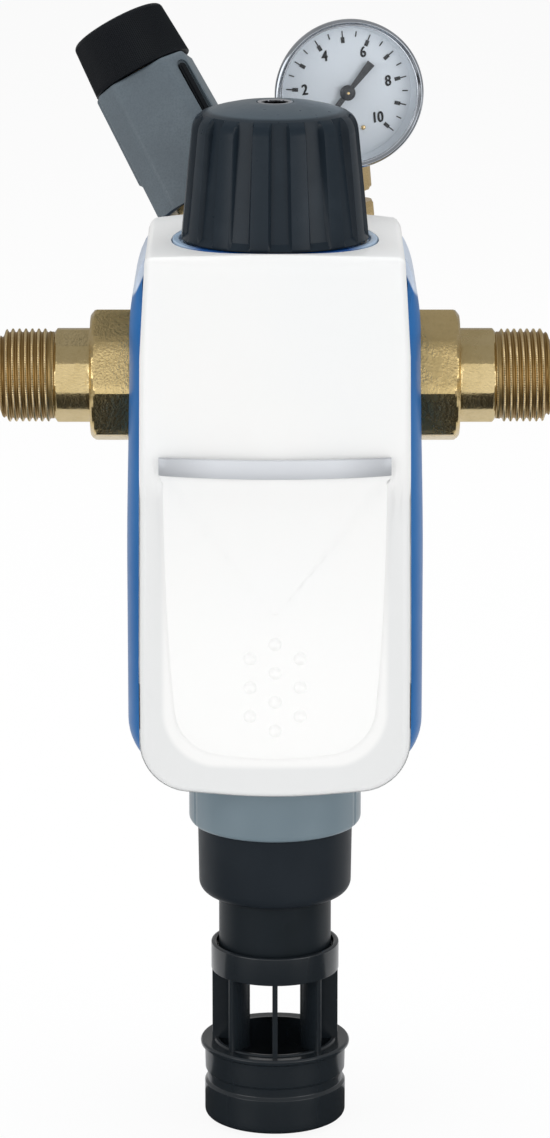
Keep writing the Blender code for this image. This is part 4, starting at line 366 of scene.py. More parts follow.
def make_hood_grey():
    """Spark-eroded grey plastic."""
    finish = Finish("hood_grey", 0.5)
    speck = finish.noise(1500, 3, 0.7)
    cloud = finish.noise(40, 3).between(0.35, 0.7)
    base = finish.mix(cloud, seen(92, 103, 111), seen(102, 114, 122))
    finish.surface(Base_Color=finish.mix(speck.between(0.4, 0.65) * 0.5, base, seen(80, 91, 98)),
                   Roughness=speck * 0.2 + 0.4)
    return finish.bump(speck, 0.35, 0.00012)


def make_collar_grey():
    """Smooth grey band: its printed label's place is left plain."""
    finish = Finish("collar_grey", 0.34, Specular_IOR_Level=0.35)
    drift = finish.noise(24, 2).between(0.35, 0.7)
    finish.surface(Base_Color=finish.mix(drift, seen(118, 134, 143), seen(108, 124, 133)),
                   Roughness=finish.noise(500, 2) * 0.1 + 0.27)
    return finish.bump(finish.noise(2600, 2), 0.05, 0.00005)


def make_dial():
    """Enamelled plate, with faint grey specks."""
    finish = Finish("dial_enamel", 0.42)
    speck = finish.noise(1800, 2).between(0.5, 0.8)
    finish.surface(Base_Color=finish.mix(speck * 0.35, seen(219, 227, 235), seen(211, 220, 229)),
                   Roughness=finish.noise(700, 2) * 0.1 + 0.38)
    return finish.bump(finish.noise(2400, 2), 0.03, 0.00004)


def make_print():
    finish = Finish("dial_print", 0.5)
    fade = finish.noise(900, 3).between(0.4, 0.7)
    return finish.surface(Base_Color=finish.mix(fade, seen(14, 16, 19), seen(24, 26, 30)))


def make_pointer_black():
    finish = Finish("pointer_black", 0.45)
    fade = finish.noise(500, 3).between(0.4, 0.7)
    finish.surface(Base_Color=finish.mix(fade, seen(42, 44, 48), seen(52, 54, 58)),
                   Roughness=fade * 0.1 + 0.4)
    return finish.bump(finish.noise(1800, 2), 0.1, 0.00004)


def make_bezel():
    """Polished steel, drawn round the rim."""
    finish = Finish("bezel_steel", 0.16, 1.0)
    stain = finish.noise(80, 3).between(0.45, 0.75)
    finish.surface(Base_Color=finish.mix(stain, seen(182, 187, 194), seen(152, 157, 163)),
                   Roughness=finish.noise(800, 2) * 0.1 + 0.1)
    return finish.bump(finish.noise(300, 2), 0.04, 0.00005)


def make_steel(name, tone, roughness, grain=1200):
    finish = Finish(name, roughness, 1.0)
    marks = finish.noise(grain, 3, 0.6, (1, 1, 0.2))
    finish.surface(Base_Color=finish.mix(marks.between(0.3, 0.7), seen(*tone), seen(*[t - 22 for t in tone])),
                   Roughness=marks * 0.16 + (roughness - 0.08))
    return finish.bump(marks, 0.12, 0.00005)


def make_socket():
    """Bright steel rim round a hexagon darkened by painted shade."""
    finish = Finish("socket_steel", 0.25, 1.0)
    height = finish.axes()[2]
    marks = finish.noise(900, 3)
    rim = finish.mix(marks, seen(214, 216, 220), seen(176, 178, 184))
    # painted shade: the hexagon's inside is dark below the rim
    finish.surface(Base_Color=finish.mix(height.between(0.1041, 0.1046), seen(34, 35, 38), rim),
                   Roughness=marks * 0.14 + 0.18)
    return finish.bump(marks, 0.1, 0.00005)


def make_woven():
    """Woven wire, seen as crossed rows of fine bumps round the sleeve."""
    finish = Finish("woven_steel", 0.35, 1.0)
    x, y, z = finish.axes(location=(0, -FILTER_Y, 0))
    around = y.math("ARCTAN2", x) * 110
    rows = (z * 5200).math("SINE") * around.math("SINE")
    finish.surface(Base_Color=finish.mix(rows.between(-0.4, 0.5), seen(110, 112, 114), seen(196, 198, 200)),
                   Roughness=rows * 0.05 + 0.36)
    return finish.bump(rows, 0.5, 0.0001)


def make_clear():
    """Clear bowl plastic, slightly milky."""
    finish = Finish("clear_plastic", 0.12, Alpha=0.32, IOR=1.5)
    haze = finish.noise(70, 3).between(0.4, 0.7)
    return finish.surface(Base_Color=finish.mix(haze, seen(214, 224, 228), seen(200, 212, 218)),
                          Roughness=haze * 0.1 + 0.08)


def make_window():
    """The gauge's window: nearly invisible, with a faint film of dust."""
    finish = Finish("gauge_window_clear", 0.04, Alpha=0.025, IOR=1.45)
    film = finish.noise(120, 3).between(0.4, 0.8)
    return finish.surface(Base_Color=finish.mix(film, seen(226, 232, 238), seen(212, 220, 228)),
                          Roughness=film * 0.08 + 0.03)


WHITE = make_white()
BLUE = make_blue()
SEAT_BLUE = make_ring_blue()
ANTHRACITE = make_anthracite()
SILVER = make_silver()
BRASS = make_brass(ripple=math.radians(35))
TAIL_BRASS = make_brass("tail_brass", bright=(212, 191, 143), dull=(182, 158, 106), ripple=math.radians(-35))
FINE_BRASS = make_brass("gauge_brass", 1500, 0.25, (222, 196, 146), (190, 160, 108), 0.0, 0.24)
INNER_BRASS = make_brass("inner_brass", 900, 0.3, (206, 182, 132), (176, 150, 100), 0.0, 0.36)
TURNED_BRASS = make_turned_brass()
THREAD_BRASS = make_thread_brass()
HOOD_GREY = make_hood_grey()
COLLAR_GREY = make_collar_grey()
DIAL = make_dial()
PRINT = make_print()
POINTER_BLACK = make_pointer_black()
BEZEL = make_bezel()
STEEL = make_steel("machined_steel", (196, 198, 200), 0.3)
SOCKET_STEEL = make_socket()
WOVEN = make_woven()
CLEAR = make_clear()
WINDOW = make_window()
BLACK = moulded("grip_black", (19, 22, 26), (24, 27, 30), 0.5, 2600, 0.06, 30, Specular_IOR_Level=0.12)
CUP_BLACK = moulded("cup_black", (35, 41, 47), (31, 37, 43), 0.42, 1900, 0.12, 26, Specular_IOR_Level=0.1)
PIPE_BLACK = moulded("pipe_black", (30, 36, 41), (26, 32, 36), 0.4, 1500, 0.1, 40, Specular_IOR_Level=0.12)
FUNNEL_BLACK = moulded("funnel_black", (31, 37, 42), (27, 33, 38), 0.24, 1900, 0.04, 22,
                       Specular_IOR_Level=0.4, Coat_Weight=0.2, Coat_Roughness=0.08)
INNER_WHITE = moulded("inner_white", (226, 226, 220), (214, 214, 206), 0.42, 1600, 0.12, 30)
RUBBER = moulded("seal_rubber", (30, 30, 31), (38, 38, 38), 0.75, 1400, 0.2, 60)

CAD_FINISHES = {
    BRASS: ("connection_body", "inlet_union_nut", "outlet_union_nut"),
    INNER_BRASS: ("filter_head", "spindle", "spindle_bonnet", "drain_valve_seat", "drain_plug",
                  "reducer_body", "reducer_valve", "adjusting_screw", "spring_plate", "movement_plate",
                  "gauge_sector", "gauge_link", "gauge_pinion", "bourdon_tube"),
    FINE_BRASS: ("gauge_shank", "gauge_adapter"),
    TURNED_BRASS: ("inlet_tailpiece", "outlet_tailpiece"),
    STEEL: ("flange_bolt_1", "flange_bolt_2", "flange_bolt_3", "flange_bolt_4", "lower_spring_plate",
            "reducer_spring", "check_valve_spring"),
    SOCKET_STEEL: ("knob_insert",),
    BEZEL: ("gauge_case", "gauge_bezel"),
    WOVEN: ("sieve_mesh",),
    RUBBER: ("bowl_o_ring", "spindle_o_ring", "drain_plug_seal", "flange_gasket", "inlet_gasket",
             "outlet_gasket", "reducer_diaphragm"),
    INNER_WHITE: ("sieve_cage", "suction_rotor", "check_valve_cage", "check_valve_poppet"),
    CLEAR: ("filter_bowl",),
    WINDOW: ("gauge_window",),
    DIAL: ("gauge_dial",),
    POINTER_BLACK: ("gauge_pointer",),
    SEAT_BLUE: ("seat_ring",),
    WHITE: ("front_cover",),
    BLUE: ("rear_shell",),
    SILVER: ("trim_bar",),
    ANTHRACITE: ("knob",),
    BLACK: ("reducer_grip",),
    HOOD_GREY: ("reducer_hood",),
    COLLAR_GREY: ("collar_ring",),
    CUP_BLACK: ("drain_cup",),
    PIPE_BLACK: ("drain_pipe",),
    FUNNEL_BLACK: ("drain_funnel",),
}

for finish, names in CAD_FINISHES.items():
    for name in names:
        node = bpy.data.objects[name]
        node.data.materials.clear()
        node.data.materials.append(finish.material)


def laid(name, shape, place=None):
    """An object from a bmesh, with its faces outwards and its place in its mesh."""
    if place is not None:
        bmesh.ops.transform(shape, matrix=place, verts=shape.verts)
    bmesh.ops.recalc_face_normals(shape, faces=shape.faces)
    mesh = bpy.data.meshes.new(name)
    shape.to_mesh(mesh)
    shape.free()
    made = bpy.data.objects.new(name, mesh)
    bpy.context.scene.collection.objects.link(made)
    return made


def piece(name, shape, finish, node=None, stands_for=None, place=None, crease=32):
    """A finished piece from a bmesh. It rides with a node's body, or stands for that node."""
    made = laid(name, shape, place)
    made.data.materials.append(finish.material)
    made.data.shade_smooth()
    made.data.set_sharp_from_angle(angle=math.radians(crease))
    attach(made, frame["nodes"][stands_for or node]["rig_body"])
    if stands_for:
        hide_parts(stands_for)
    return made


def turned(outline, steps=96, form=None):
    """Spins (radius, height) points round Z. form moves each point afterwards."""
    shape = bmesh.new()
    points = [shape.verts.new((radius, 0, height)) for radius, height in outline]
    pairs = list(zip(points, points[1:]))
    if outline[0][0] > 0:
        pairs.append((points[-1], points[0]))
    edges = [shape.edges.new(pair) for pair in pairs]
    bmesh.ops.spin(shape, geom=points + edges, cent=(0, 0, 0), axis=(0, 0, 1), angle=math.tau, steps=steps,
                   use_merge=True)
    bmesh.ops.remove_doubles(shape, verts=shape.verts, dist=1e-7)
    if form:
        for vert in shape.verts:
            vert.co = form(*vert.co)
    return shape


def soft(corners, steps=5):
    """Rounds (radius, height, fillet) corners of an open outline by arcs."""
    points = []
    for i, corner in enumerate(corners):
        here = Vector(corner[:2])
        if len(corner) < 3 or i in (0, len(corners) - 1):
            points.append(tuple(here))
            continue
        before = (Vector(corners[i - 1][:2]) - here).normalized()
        after = (Vector(corners[i + 1][:2]) - here).normalized()
        half = before.angle(after) / 2
        if half > math.radians(89.5):
            points.append(tuple(here))
            continue
        middle = here + (before + after).normalized() * corner[2] / math.sin(half)
        start = here + before * corner[2] / math.tan(half) - middle
        sweep = start.angle_signed(here + after * corner[2] / math.tan(half) - middle)
        points += [tuple(middle + Matrix.Rotation(-sweep * k / steps, 2) @ start) for k in range(steps + 1)]
    return points


def finely(outline, longest):
    """Adds points to an outline's long runs."""
    points = [outline[0]]
    for start, end in zip(outline, outline[1:]):
        gap = math.dist(start, end)
        count = max(1, math.ceil(gap / longest))
        points += [tuple(s + (e - s) * k / count for s, e in zip(start, end)) for k in range(1, count + 1)]
    return points


def lofted(rings, closed=False):
    """Extrudes a loop from ring to ring. The ends are filled, or the last ring is joined to the first."""
    shape = bmesh.new()
    order = shape.verts.layers.int.new("order")
    loop = [shape.verts.new(point) for point in rings[0]]
    for i, vert in enumerate(loop):
        vert[order] = i
    edges = [shape.edges.new((loop[i - 1], loop[i])) for i in range(len(loop))]
    first = list(edges)
    for ring in rings[1:]:
        grown = bmesh.ops.extrude_edge_only(shape, edges=edges)["geom"]
        edges = [item for item in grown if isinstance(item, bmesh.types.BMEdge)]
        for item in grown:
            if isinstance(item, bmesh.types.BMVert):
                item.co = ring[item[order]]
    if closed:
        bmesh.ops.bridge_loops(shape, edges=first + edges)
    else:
        bmesh.ops.contextual_create(shape, geom=first)
        bmesh.ops.contextual_create(shape, geom=edges)
    return shape


def carve(made, *cutters):
    """Cuts the cutters' shapes out of a piece and removes them."""
    for cutter in cutters:
        step = made.modifiers.new("cut", "BOOLEAN")
        step.object = cutter
        step.solver = "MANIFOLD"
    graph = bpy.context.evaluated_depsgraph_get()
    cut = bpy.data.meshes.new_from_object(made.evaluated_get(graph))
    made.modifiers.clear()
    made.data = cut
    cut.shade_smooth()
    cut.set_sharp_from_angle(angle=math.radians(32))
    for cutter in cutters:
        bpy.data.objects.remove(cutter, do_unlink=True)


def cutter(shape, place=None):
    return laid("cutter", shape, place)


def plug(radius, first, last, steps=96):
    """A round bar between two heights, in millimetres, that cuts a bore."""
    return turned(mm([(0, first), (radius, first), (radius, last), (0, last)]), steps)


def bowl_passage():
    """Cuts the way out for the bowl's lower end."""
    return cutter(plug(31.6, -110, -150), FILTER_AXIS)


def plate(outline, low, height):
    """A flat plate of this outline, from low upwards along Z."""
    shape = bmesh.new()
    base = shape.faces.new([shape.verts.new((x, y, low)) for x, y in outline])
    grown = bmesh.ops.extrude_face_region(shape, geom=[base])["geom"]
    tops = [item for item in grown if isinstance(item, bmesh.types.BMVert)]
    bmesh.ops.translate(shape, verts=tops, vec=(0, 0, height))
    return shape


def block_at(place, size):
    """What makes a unit cube a block of this size at this place, both in millimetres."""
    return Matrix.Translation(Vector(place) * MM) @ Matrix.Diagonal((*[side * MM for side in size], 1))


def at_radius(x, y, z, reach):
    """The point moved to this distance from the Z axis."""
    share = reach / math.hypot(x, y)
    return x * share, y * share, z


def smooth(value):
    share = min(max(value, 0), 1)
    return share * share * (3 - 2 * share)


def rounded(corners, steps):
    """A closed outline through (x, z, radius) corners, each rounded by an arc."""
    points = []
    count = len(corners)
    for i in range(count):
        here = Vector(corners[i][:2])
        before = (Vector(corners[i - 1][:2]) - here).normalized()
        after = (Vector(corners[(i + 1) % count][:2]) - here).normalized()
        radius = corners[i][2]
        if radius == 0:
            points.append(here)
            continue
        half = before.angle(after) / 2
        middle = here + (before + after).normalized() * radius / math.sin(half)
        start = here + before * radius / math.tan(half) - middle
        sweep = start.angle_signed(here + after * radius / math.tan(half) - middle)
        points += [middle + Matrix.Rotation(-sweep * k / steps, 2) @ start for k in range(steps + 1)]
    return points


def inset(points, distance):
    """Moves a closed outline inwards by this distance."""
    moved = []
    count = len(points)
    side = 1 if sum(points[i - 1].cross(points[i]) for i in range(count)) > 0 else -1
    for i, here in enumerate(points):
        first = (here - points[i - 1]).normalized()
        second = (points[(i + 1) % count] - here).normalized()
        normal = Vector((-first.y - second.y, first.x + second.x)).normalized() * side
        across = Vector((-first.y, first.x)).normalized() * side
        moved.append(here + normal * distance / max(normal.dot(across), 0.5))
    return moved


def both_sides(right):
    return right + [(-x, z, radius) for x, z, radius in reversed(right) if x > 0]


def blend(first, second, share):
    return [a.lerp(b, share) for a, b in zip(first, second)]


def face_y(x, z):
    """How far forward the cover's front face lies."""
    down = COVER_TOP_Z - z
    bulge = FACE_BULGE * (x / COVER_LOWER_HALF) ** 2
    return FACE_TOP_Y - FACE_SLOPE * down + FACE_CURVE * down * down + bulge


def sweep_z(step):
    return COVER_SWEEP_Z + (COVER_SWEEP_TOP_Z - COVER_SWEEP_Z) * step / SWEEP_STEPS


def cover_back_y(x, z):
    """The parting line with the rear shell."""
    corner = max(abs(x) - (COVER_TOP_HALF - COVER_BACK_CORNER), 0)
    top = COVER_TOP_BACK_Y - COVER_BACK_CORNER
    top += math.sqrt(max(COVER_BACK_CORNER ** 2 - corner ** 2, 0))
    share = smooth((z - COVER_SWEEP_Z) / (COVER_SWEEP_TOP_Z - COVER_SWEEP_Z))
    return COVER_BACK_Y + (top - COVER_BACK_Y) * share


def cover_outline():
    taper = (COVER_UPPER_HALF - COVER_TOP_HALF) / SWEEP_STEPS
    lower = 16
    return rounded(both_sides([
        (0, COVER_TOP_Z, 300 * MM),
        (COVER_TOP_HALF, COVER_TOP_Z - COVER_TOP_DROP, 2.7 * MM),
        *[(COVER_UPPER_HALF - taper * k, sweep_z(k), 0) for k in range(SWEEP_STEPS, -1, -1)],
        *[(COVER_UPPER_HALF + (COVER_LOWER_HALF - COVER_UPPER_HALF) * min(k / lower * 1.2, 1),
           COVER_SWEEP_Z - 130 * MM * k / lower, 0) for k in range(1, lower + 1)],
        (COVER_LOWER_HALF - 0.3 * MM, COVER_BOTTOM_Z + COVER_BOTTOM_RISE, COVER_CORNER_RADIUS),
        (0, COVER_BOTTOM_Z, 300 * MM),
    ]), 10)


def panel_outline():
    count = SWEEP_STEPS + 1 + 16
    return rounded(both_sides([
        (0, PANEL_TOP_Z + 0.3 * MM, 300 * MM),
        (PANEL_TOP_HALF, PANEL_TOP_Z, 2.5 * MM),
        *[(PANEL_TOP_HALF - (PANEL_TOP_HALF - PANEL_LOW_HALF) * (k / count) ** 2,
           PANEL_TOP_Z - (PANEL_TOP_Z - PANEL_LOW_Z) * k / count, 0) for k in range(1, count + 1)],
        (PANEL_LOW_HALF - 2.5 * MM, PANEL_BOTTOM_Z + 4 * MM, PANEL_CORNER_RADIUS),
        (0, PANEL_BOTTOM_Z - 0.6 * MM, 150 * MM),
    ]), 10)


def cover_ring(outline, forward, depth=0.0):
    ring = []
    for x, z in outline:
        back = cover_back_y(x, z)
        y = back + (face_y(x, z) + depth - back) * forward
        near_top = smooth((z - (COVER_TOP_Z - 8 * MM)) / (4 * MM))
        lift = COVER_BACK_RISE * near_top * max(y - FILTER_Y, 0) / (COVER_TOP_BACK_Y - FILTER_Y)
        ring.append((x, y, z + lift))
    return ring


def border(outline, share):
    return [BORDER_DROP * share * (1 - smooth((p.y - PANEL_TOP_Z) / (14 * MM) + 1)) for p in outline]


def front_ring(outline, depth, drops=None):
    drops = drops or [0] * len(outline)
    return [(p.x, face_y(p.x, p.y) + depth + drop, p.y) for p, drop in zip(outline, drops)]


def rounded_in(edge, share):
    """The cover's edge drawn in for its rounding, which is deepest along the middle of the top."""
    drawn = []
    for p, lean in zip(edge, inset(edge, MM)):
        saddle = smooth((p.y - 50 * MM) / (7 * MM)) * smooth((COVER_TOP_HALF - 4 * MM - abs(p.x)) / (16 * MM))
        drawn.append(p + (lean - p) * (COVER_EDGE_RADIUS / MM + 4.5 * saddle) * share)
    return drawn


def make_cover():
    """The white moulding, with its raised panel, its dimples and the knob's opening."""
    edge = cover_outline()
    panel = panel_outline()
    middle = Vector((0, (PANEL_TOP_Z + PANEL_BOTTOM_Z) / 2))
    lip = 0.5 * MM
    raised = inset(panel, PANEL_STEP + lip)
    rings = [front_ring([middle + (p - middle) * share for p in raised], -PANEL_STEP)
             for share in (0.02, 0.1, 0.2, 0.3, 0.4, 0.5, 0.6, 0.7, 0.8, 0.9, 0.97)]
    for turn in (0, 30, 60, 90):
        angle = math.radians(turn)
        outline = inset(panel, PANEL_STEP + lip * (1 - math.sin(angle)))
        rings.append(front_ring(outline, -PANEL_STEP + lip * (1 - math.cos(angle)) * 0.6))
    rings.append(front_ring(panel, 0))
    rim = rounded_in(edge, 1)
    for share in (0.06, 0.14, 0.22, 0.3, 0.4, 0.5, 0.6, 0.7, 0.8, 0.9):
        outline = blend(panel, rim, share)
        rings.append(front_ring(outline, 0, border(outline, share)))
    for turn in range(0, 91, 9):
        angle = math.radians(turn)
        outline = rounded_in(edge, 1 - math.sin(angle))
        rings.append(front_ring(outline, COVER_EDGE_RADIUS * (1 - math.cos(angle)), border(outline, 1)))
    rings += [cover_ring(edge, forward)
              for forward in (0.9, 0.8, 0.7, 0.6, 0.5, 0.4, 0.3, 0.2, 0.1, 0.03, 0)]
    inside = inset(edge, COVER_WALL)
    rings += [cover_ring(inside, forward) for forward in (0, 0.4, 0.8)]
    for share in (1, 0.6, 0.2):
        outline = blend([middle] * len(panel), inset(edge, COVER_WALL), share)
        rings.append(front_ring(outline, COVER_WALL, border(outline, share)))
    cover = piece("cover_moulding", lofted(rings), WHITE, stands_for="front_cover")
    opening = cutter(plug(OPENING_RADIUS / MM, 70, 48, 128), FILTER_AXIS)
    dimples = bmesh.new()
    radius, depth, pitch = 2.3 * MM, 1.0 * MM, 10.2 * MM
    ball = (radius ** 2 + depth ** 2) / (2 * depth)
    places = [(0, -75.1 * MM - pitch * i) for i in range(4)]
    for side in (-1, 1):
        places += [(side * 8.7 * MM, -75.1 * MM - pitch * (i + 0.5)) for i in range(3)]
    for x, z in places:
        y = face_y(x, z) - PANEL_STEP - ball + depth
        bmesh.ops.create_icosphere(dimples, subdivisions=4, radius=ball, matrix=Matrix.Translation((x, y, z)))
    carve(cover, opening, bowl_passage(), cutter(dimples))


def make_bar():
    """The silver bar, softly rounded along its edges and ends."""
    rings = []
    stations = 60
    for i in range(stations + 1):
        x = BAR_HALF * (2 * i / stations - 1)
        low = BAR_Z - BAR_HEIGHT / 2 - BAR_BOW * (1 - (x / BAR_HALF) ** 2)
        high = BAR_Z + BAR_HEIGHT / 2
        back = face_y(x, BAR_Z) - PANEL_STEP - 0.45 * MM
        thick = 1.3 * MM
        end = 0.5 * MM * (1 - smooth(min(i, stations - i) / 1.5))
        front, near, far = back - thick, 0.15 * MM, 0.5 * MM
        section = [(back, low), (back, high), (front + far, high), (front + near, high - near),
                   (front, high - far), (front, low + far), (front + near, low + near), (front + far, low)]
        rings.append([(x, min(y + end, back), z) for y, z in section])
    piece("bar_strip", lofted(rings), SILVER, stands_for="trim_bar", crease=40)


def shell_outline():
    slope = SHELL_SHOULDER_HALF - SHELL_TOP_HALF
    drop = SHELL_TOP_Z - COVER_SWEEP_Z
    lower = 16
    return rounded(both_sides([
        (SHELL_TOP_HALF, SHELL_TOP_Z, SHELL_TOP_CORNER),
        *[(SHELL_SHOULDER_HALF - slope * ((sweep_z(k) - COVER_SWEEP_Z) / drop) ** 2.4, sweep_z(k), 0)
          for k in range(12, -1, -1)],
        *[(SHELL_SHOULDER_HALF + (SHELL_HALF - SHELL_SHOULDER_HALF) * smooth(k / lower),
           COVER_SWEEP_Z - 82 * MM * k / lower, 0) for k in range(1, lower + 1)],
        (SHELL_HALF, SHELL_BOTTOM_Z, SHELL_CORNER_RADIUS),
    ]), 14)


def shell_ring(outline, wall, flare, behind):
    ring = []
    for p, plain, drawn in zip(outline, inset(outline, wall), inset(outline, wall + flare)):
        share = 1 - smooth((p.y - 28.3 * MM) / (12.5 * MM))
        x, z = plain.lerp(drawn, share)
        gap = 0.3 * MM + SHELL_TOP_CLEARANCE * (1 - share)
        ring.append((x, cover_back_y(p.x, p.y) + gap + behind, z))
    return ring


def make_shell():
    """The blue tub behind the cover, with the nuts' openings in its sides."""
    edge = shell_outline()
    inner = SHELL_BACK_RADIUS - SHELL_WALL
    flare = SHELL_HALF - COVER_LOWER_HALF
    rings = []
    for turn in (90, 45, 0):
        angle = math.radians(turn)
        rings.append([(p.x, SHELL_BACK_Y - SHELL_BACK_RADIUS + inner * math.sin(angle), p.y)
                      for p in inset(edge, SHELL_WALL + inner * (1 - math.cos(angle)))])
    rings.append(shell_ring(edge, SHELL_WALL, 0, SHELL_FLARE))
    rings.append(shell_ring(edge, SHELL_WALL, flare, 0))
    for turn in range(0, 91, 9):
        angle = math.radians(turn)
        rings.append(shell_ring(edge, 0, flare * (1 - math.sin(angle)), SHELL_FLARE * (1 - math.cos(angle))))
    for turn in range(0, 91, 15):
        angle = math.radians(turn)
        y = SHELL_BACK_Y - SHELL_BACK_RADIUS * (1 - math.sin(angle))
        rings.append([(p.x, y, p.y) for p in inset(edge, SHELL_BACK_RADIUS * (1 - math.cos(angle)))])
    shell = piece("shell_tub", lofted(rings), BLUE, stands_for="rear_shell")
    unions = [cutter(plug(25.2, 60, 44), Matrix.Rotation(side * math.pi / 2, 4, "Y")) for side in (-1, 1)]
    reducer = cutter(plug(13.2, 72.5, 35, 64), REDUCER_FRAME)
    stand = Matrix.Translation((0, -48.6 * MM, -7.5 * MM)) @ Matrix.Rotation(math.pi / 2, 4, "X")
    stem = cutter(plug(5.2, 20, 0, 48), GAUGE_FRAME @ stand)
    carve(shell, bowl_passage(), *unions, reducer, stem)


def make_frames():
    """Where the reducer's axis and the gauge's dial stand."""
    up = Vector((-math.sin(REDUCER_LEFT) * math.cos(REDUCER_BACK), math.sin(REDUCER_BACK),
                 math.cos(REDUCER_LEFT) * math.cos(REDUCER_BACK)))
    across = Vector((math.cos(REDUCER_LEFT), 0, math.sin(REDUCER_LEFT)))
    turn = Matrix((across, up.cross(across), up)).transposed().to_4x4()
    reducer = Matrix.Translation((REDUCER_X, 0, 0)) @ turn
    facing = Vector((math.sin(GAUGE_YAW), -math.cos(GAUGE_YAW), 0))
    right = Vector((math.cos(GAUGE_YAW), math.sin(GAUGE_YAW), 0))
    turn = Matrix((right, Vector((0, 0, 1)), facing)).transposed().to_4x4()
    gauge = Matrix.Translation(GAUGE_PLACE) @ Matrix.Rotation(GAUGE_ROLL, 4, facing) @ turn
    return reducer, gauge


REDUCER_FRAME, GAUGE_FRAME = make_frames()


def make_knob():
    """The knob: flat-floored flutes that run out over the shoulder as pockets."""
    flutes, start = 14, 0.121
    skirt = 57.7
    outline = [
        *mm([(29, skirt), (31.6, skirt), (31.8, skirt + 0.3), (32.3, skirt + 0.1), (32.4, skirt + 0.4)]),
        *finely(mm([(32.35, skirt + 1.2), (28.75, 95.4)]), 1.6 * MM),
        *finely(soft(mm([(28.75, 95.5), (28.4, 97.5, 6), (27.3, 99.8, 4), (25.5, 101.2, 3), (22.8, 102.2)])),
                0.45 * MM),
        *mm([(20, 103), (16, 103.9), (10, 104.75), (7.2, 104.95), (6.6, 104.9), (6.4, 104.6), (6.4, 102),
             (6, 101.8), (8, 101.7), (8, 97), (25.5, 97)]),
    ]

    def flute(x, y, z):
        radius = math.hypot(x, y)
        if radius < 24 * MM or z < (skirt + 0.05) * MM:
            return x, y, z
        share = (math.atan2(y, x) / math.tau * flutes - start) % 1
        floor_radius = 30.85 * MM - 0.132 * (z - 59.9 * MM)
        height = smooth((z - (skirt + 0.6) * MM) / (1.6 * MM))
        floor = smooth((0.25 - abs(share - 0.5)) / 0.034 + 0.5)
        return at_radius(x, y, z, radius - max(radius - floor_radius, 0) * floor * height)

    def hollow(x, y, z):
        return (x, y, z) if math.hypot(x, y) > 5.2 * MM else hexed(x, y, z, 4.3 * MM)

    cap = turned(outline, flutes * 30, flute)
    piece("knob_cap", cap, ANTHRACITE, stands_for="knob", place=FILTER_AXIS, crease=24)
    socket = turned(soft(mm([(0, 102), (4.8, 102), (4.9, 104.7, 0.2), (6, 105.1, 0.3), (6.2, 104.6),
                             (6.2, 101.9), (0, 101.9)]), 4), 96, hollow)
    piece("knob_socket", socket, SOCKET_STEEL, stands_for="knob_insert", place=FILTER_AXIS)


def hexed(x, y, z, flat):
    """Pulls a round onto a hexagon of this half width."""
    radius = math.hypot(x, y)
    if radius < 1e-6:
        return x, y, z
    off = math.atan2(y, x) % (math.pi / 3) - math.pi / 6
    return at_radius(x, y, z, min(radius, flat / math.cos(off)))


def sided(sides, flat, turn=0.0, round_off=0.0, above=None):
    """A form that cuts flat sides on a turned piece, above a height. round_off softens the corners."""
    pitch = math.tau / sides

    def form(x, y, z):
        radius = math.hypot(x, y)
        off = (math.atan2(y, x) - turn) % pitch - pitch / 2
        limit = flat / math.cos(off)
        if radius <= flat or (above is not None and z <= above):
            return x, y, z
        soften = round_off * smooth((limit - flat) / (flat / math.cos(pitch / 2) - flat)) ** 3
        return at_radius(x, y, z, min(radius, limit - soften))

    return form


def make_union(name, side):
    """One side's octagonal union nut and its tail with a cut thread."""
    out = Matrix.Rotation(side * math.pi / 2, 4, "Y")
    corner, start, end = 24.5, 43, 65.7
    flat = corner * math.cos(math.pi / 8)
    turn = math.radians(4.7) if side > 0 else math.pi - math.radians(4.7)
    nut = finely(soft(mm([
        (17.1, 61.5), (17.1, end), (flat - 1.2, end, 0.3), (corner, end - 2.2), (corner, start + 0.6),
        (corner - 0.8, start), (21.2, start), (21.2, 61.5)]), 4), 1.5 * MM)
    nut = turned(nut, 320, sided(8, flat * MM, turn, 0.25 * MM))
    piece(f"{name}_nut", nut, BRASS, stands_for=f"{name}_union_nut", place=out, crease=22)
    tail = finely(soft(mm([
        (12.7, 56.9), (20.6, 56.9), (20.6, 61.2), (16.8, 61.2), (16.8, 66.4), (16.8, 77.6, 0.6), (15.3, 78.7),
        (15.3, 79.2), (12.7, 79.2)]), 4), 1.5 * MM)
    tail = turned(tail, 288, sided(6, 16 * MM, math.radians(-7) * side, 0.12 * MM, 66 * MM))
    piece(f"{name}_tail_hex", tail, TAIL_BRASS, node=f"{name}_tailpiece", place=out, crease=22)
    thread = make_thread_shape(78.9 * MM, 98.1 * MM)
    piece(f"{name}_tail_thread", thread, THREAD_BRASS, stands_for=f"{name}_tailpiece", place=out, crease=50)


def make_thread_shape(start, end):
    """A pipe thread by helical moves of a sleeve's points, with fine nicks along its crests."""
    pitch, crest, depth = 2.309 * MM, 16.62 * MM, 1.3 * MM
    run = finely([(crest, start), (crest, end)], pitch / 14)
    outline = [(12.7 * MM, start), *run, (12.7 * MM, end), (12.7 * MM, (start + end) / 2)]

    def cut(x, y, z):
        if math.hypot(x, y) < 14 * MM:
            return x, y, z
        angle = math.atan2(y, x)
        phase = (z / pitch - angle / math.tau) % 1
        wave = abs(phase - 0.5) * 2
        tooth = smooth((wave - 0.12) / 0.76)
        nick = 0.3 * MM * smooth(1 - abs(wave - 0.12) * 3.0) * (math.sin(angle * 118) * 0.5 + 0.5)
        lead = min((end - z) / (2.6 * MM), 1)
        runout = smooth((z - start - 0.8 * MM) / (1.2 * MM))
        reach = crest - depth * tooth * runout - nick - (1 - lead) * 2.6 * MM - (1 - runout) * 1.1 * MM
        return at_radius(x, y, z, reach)

    return turned(outline, 472, cut)


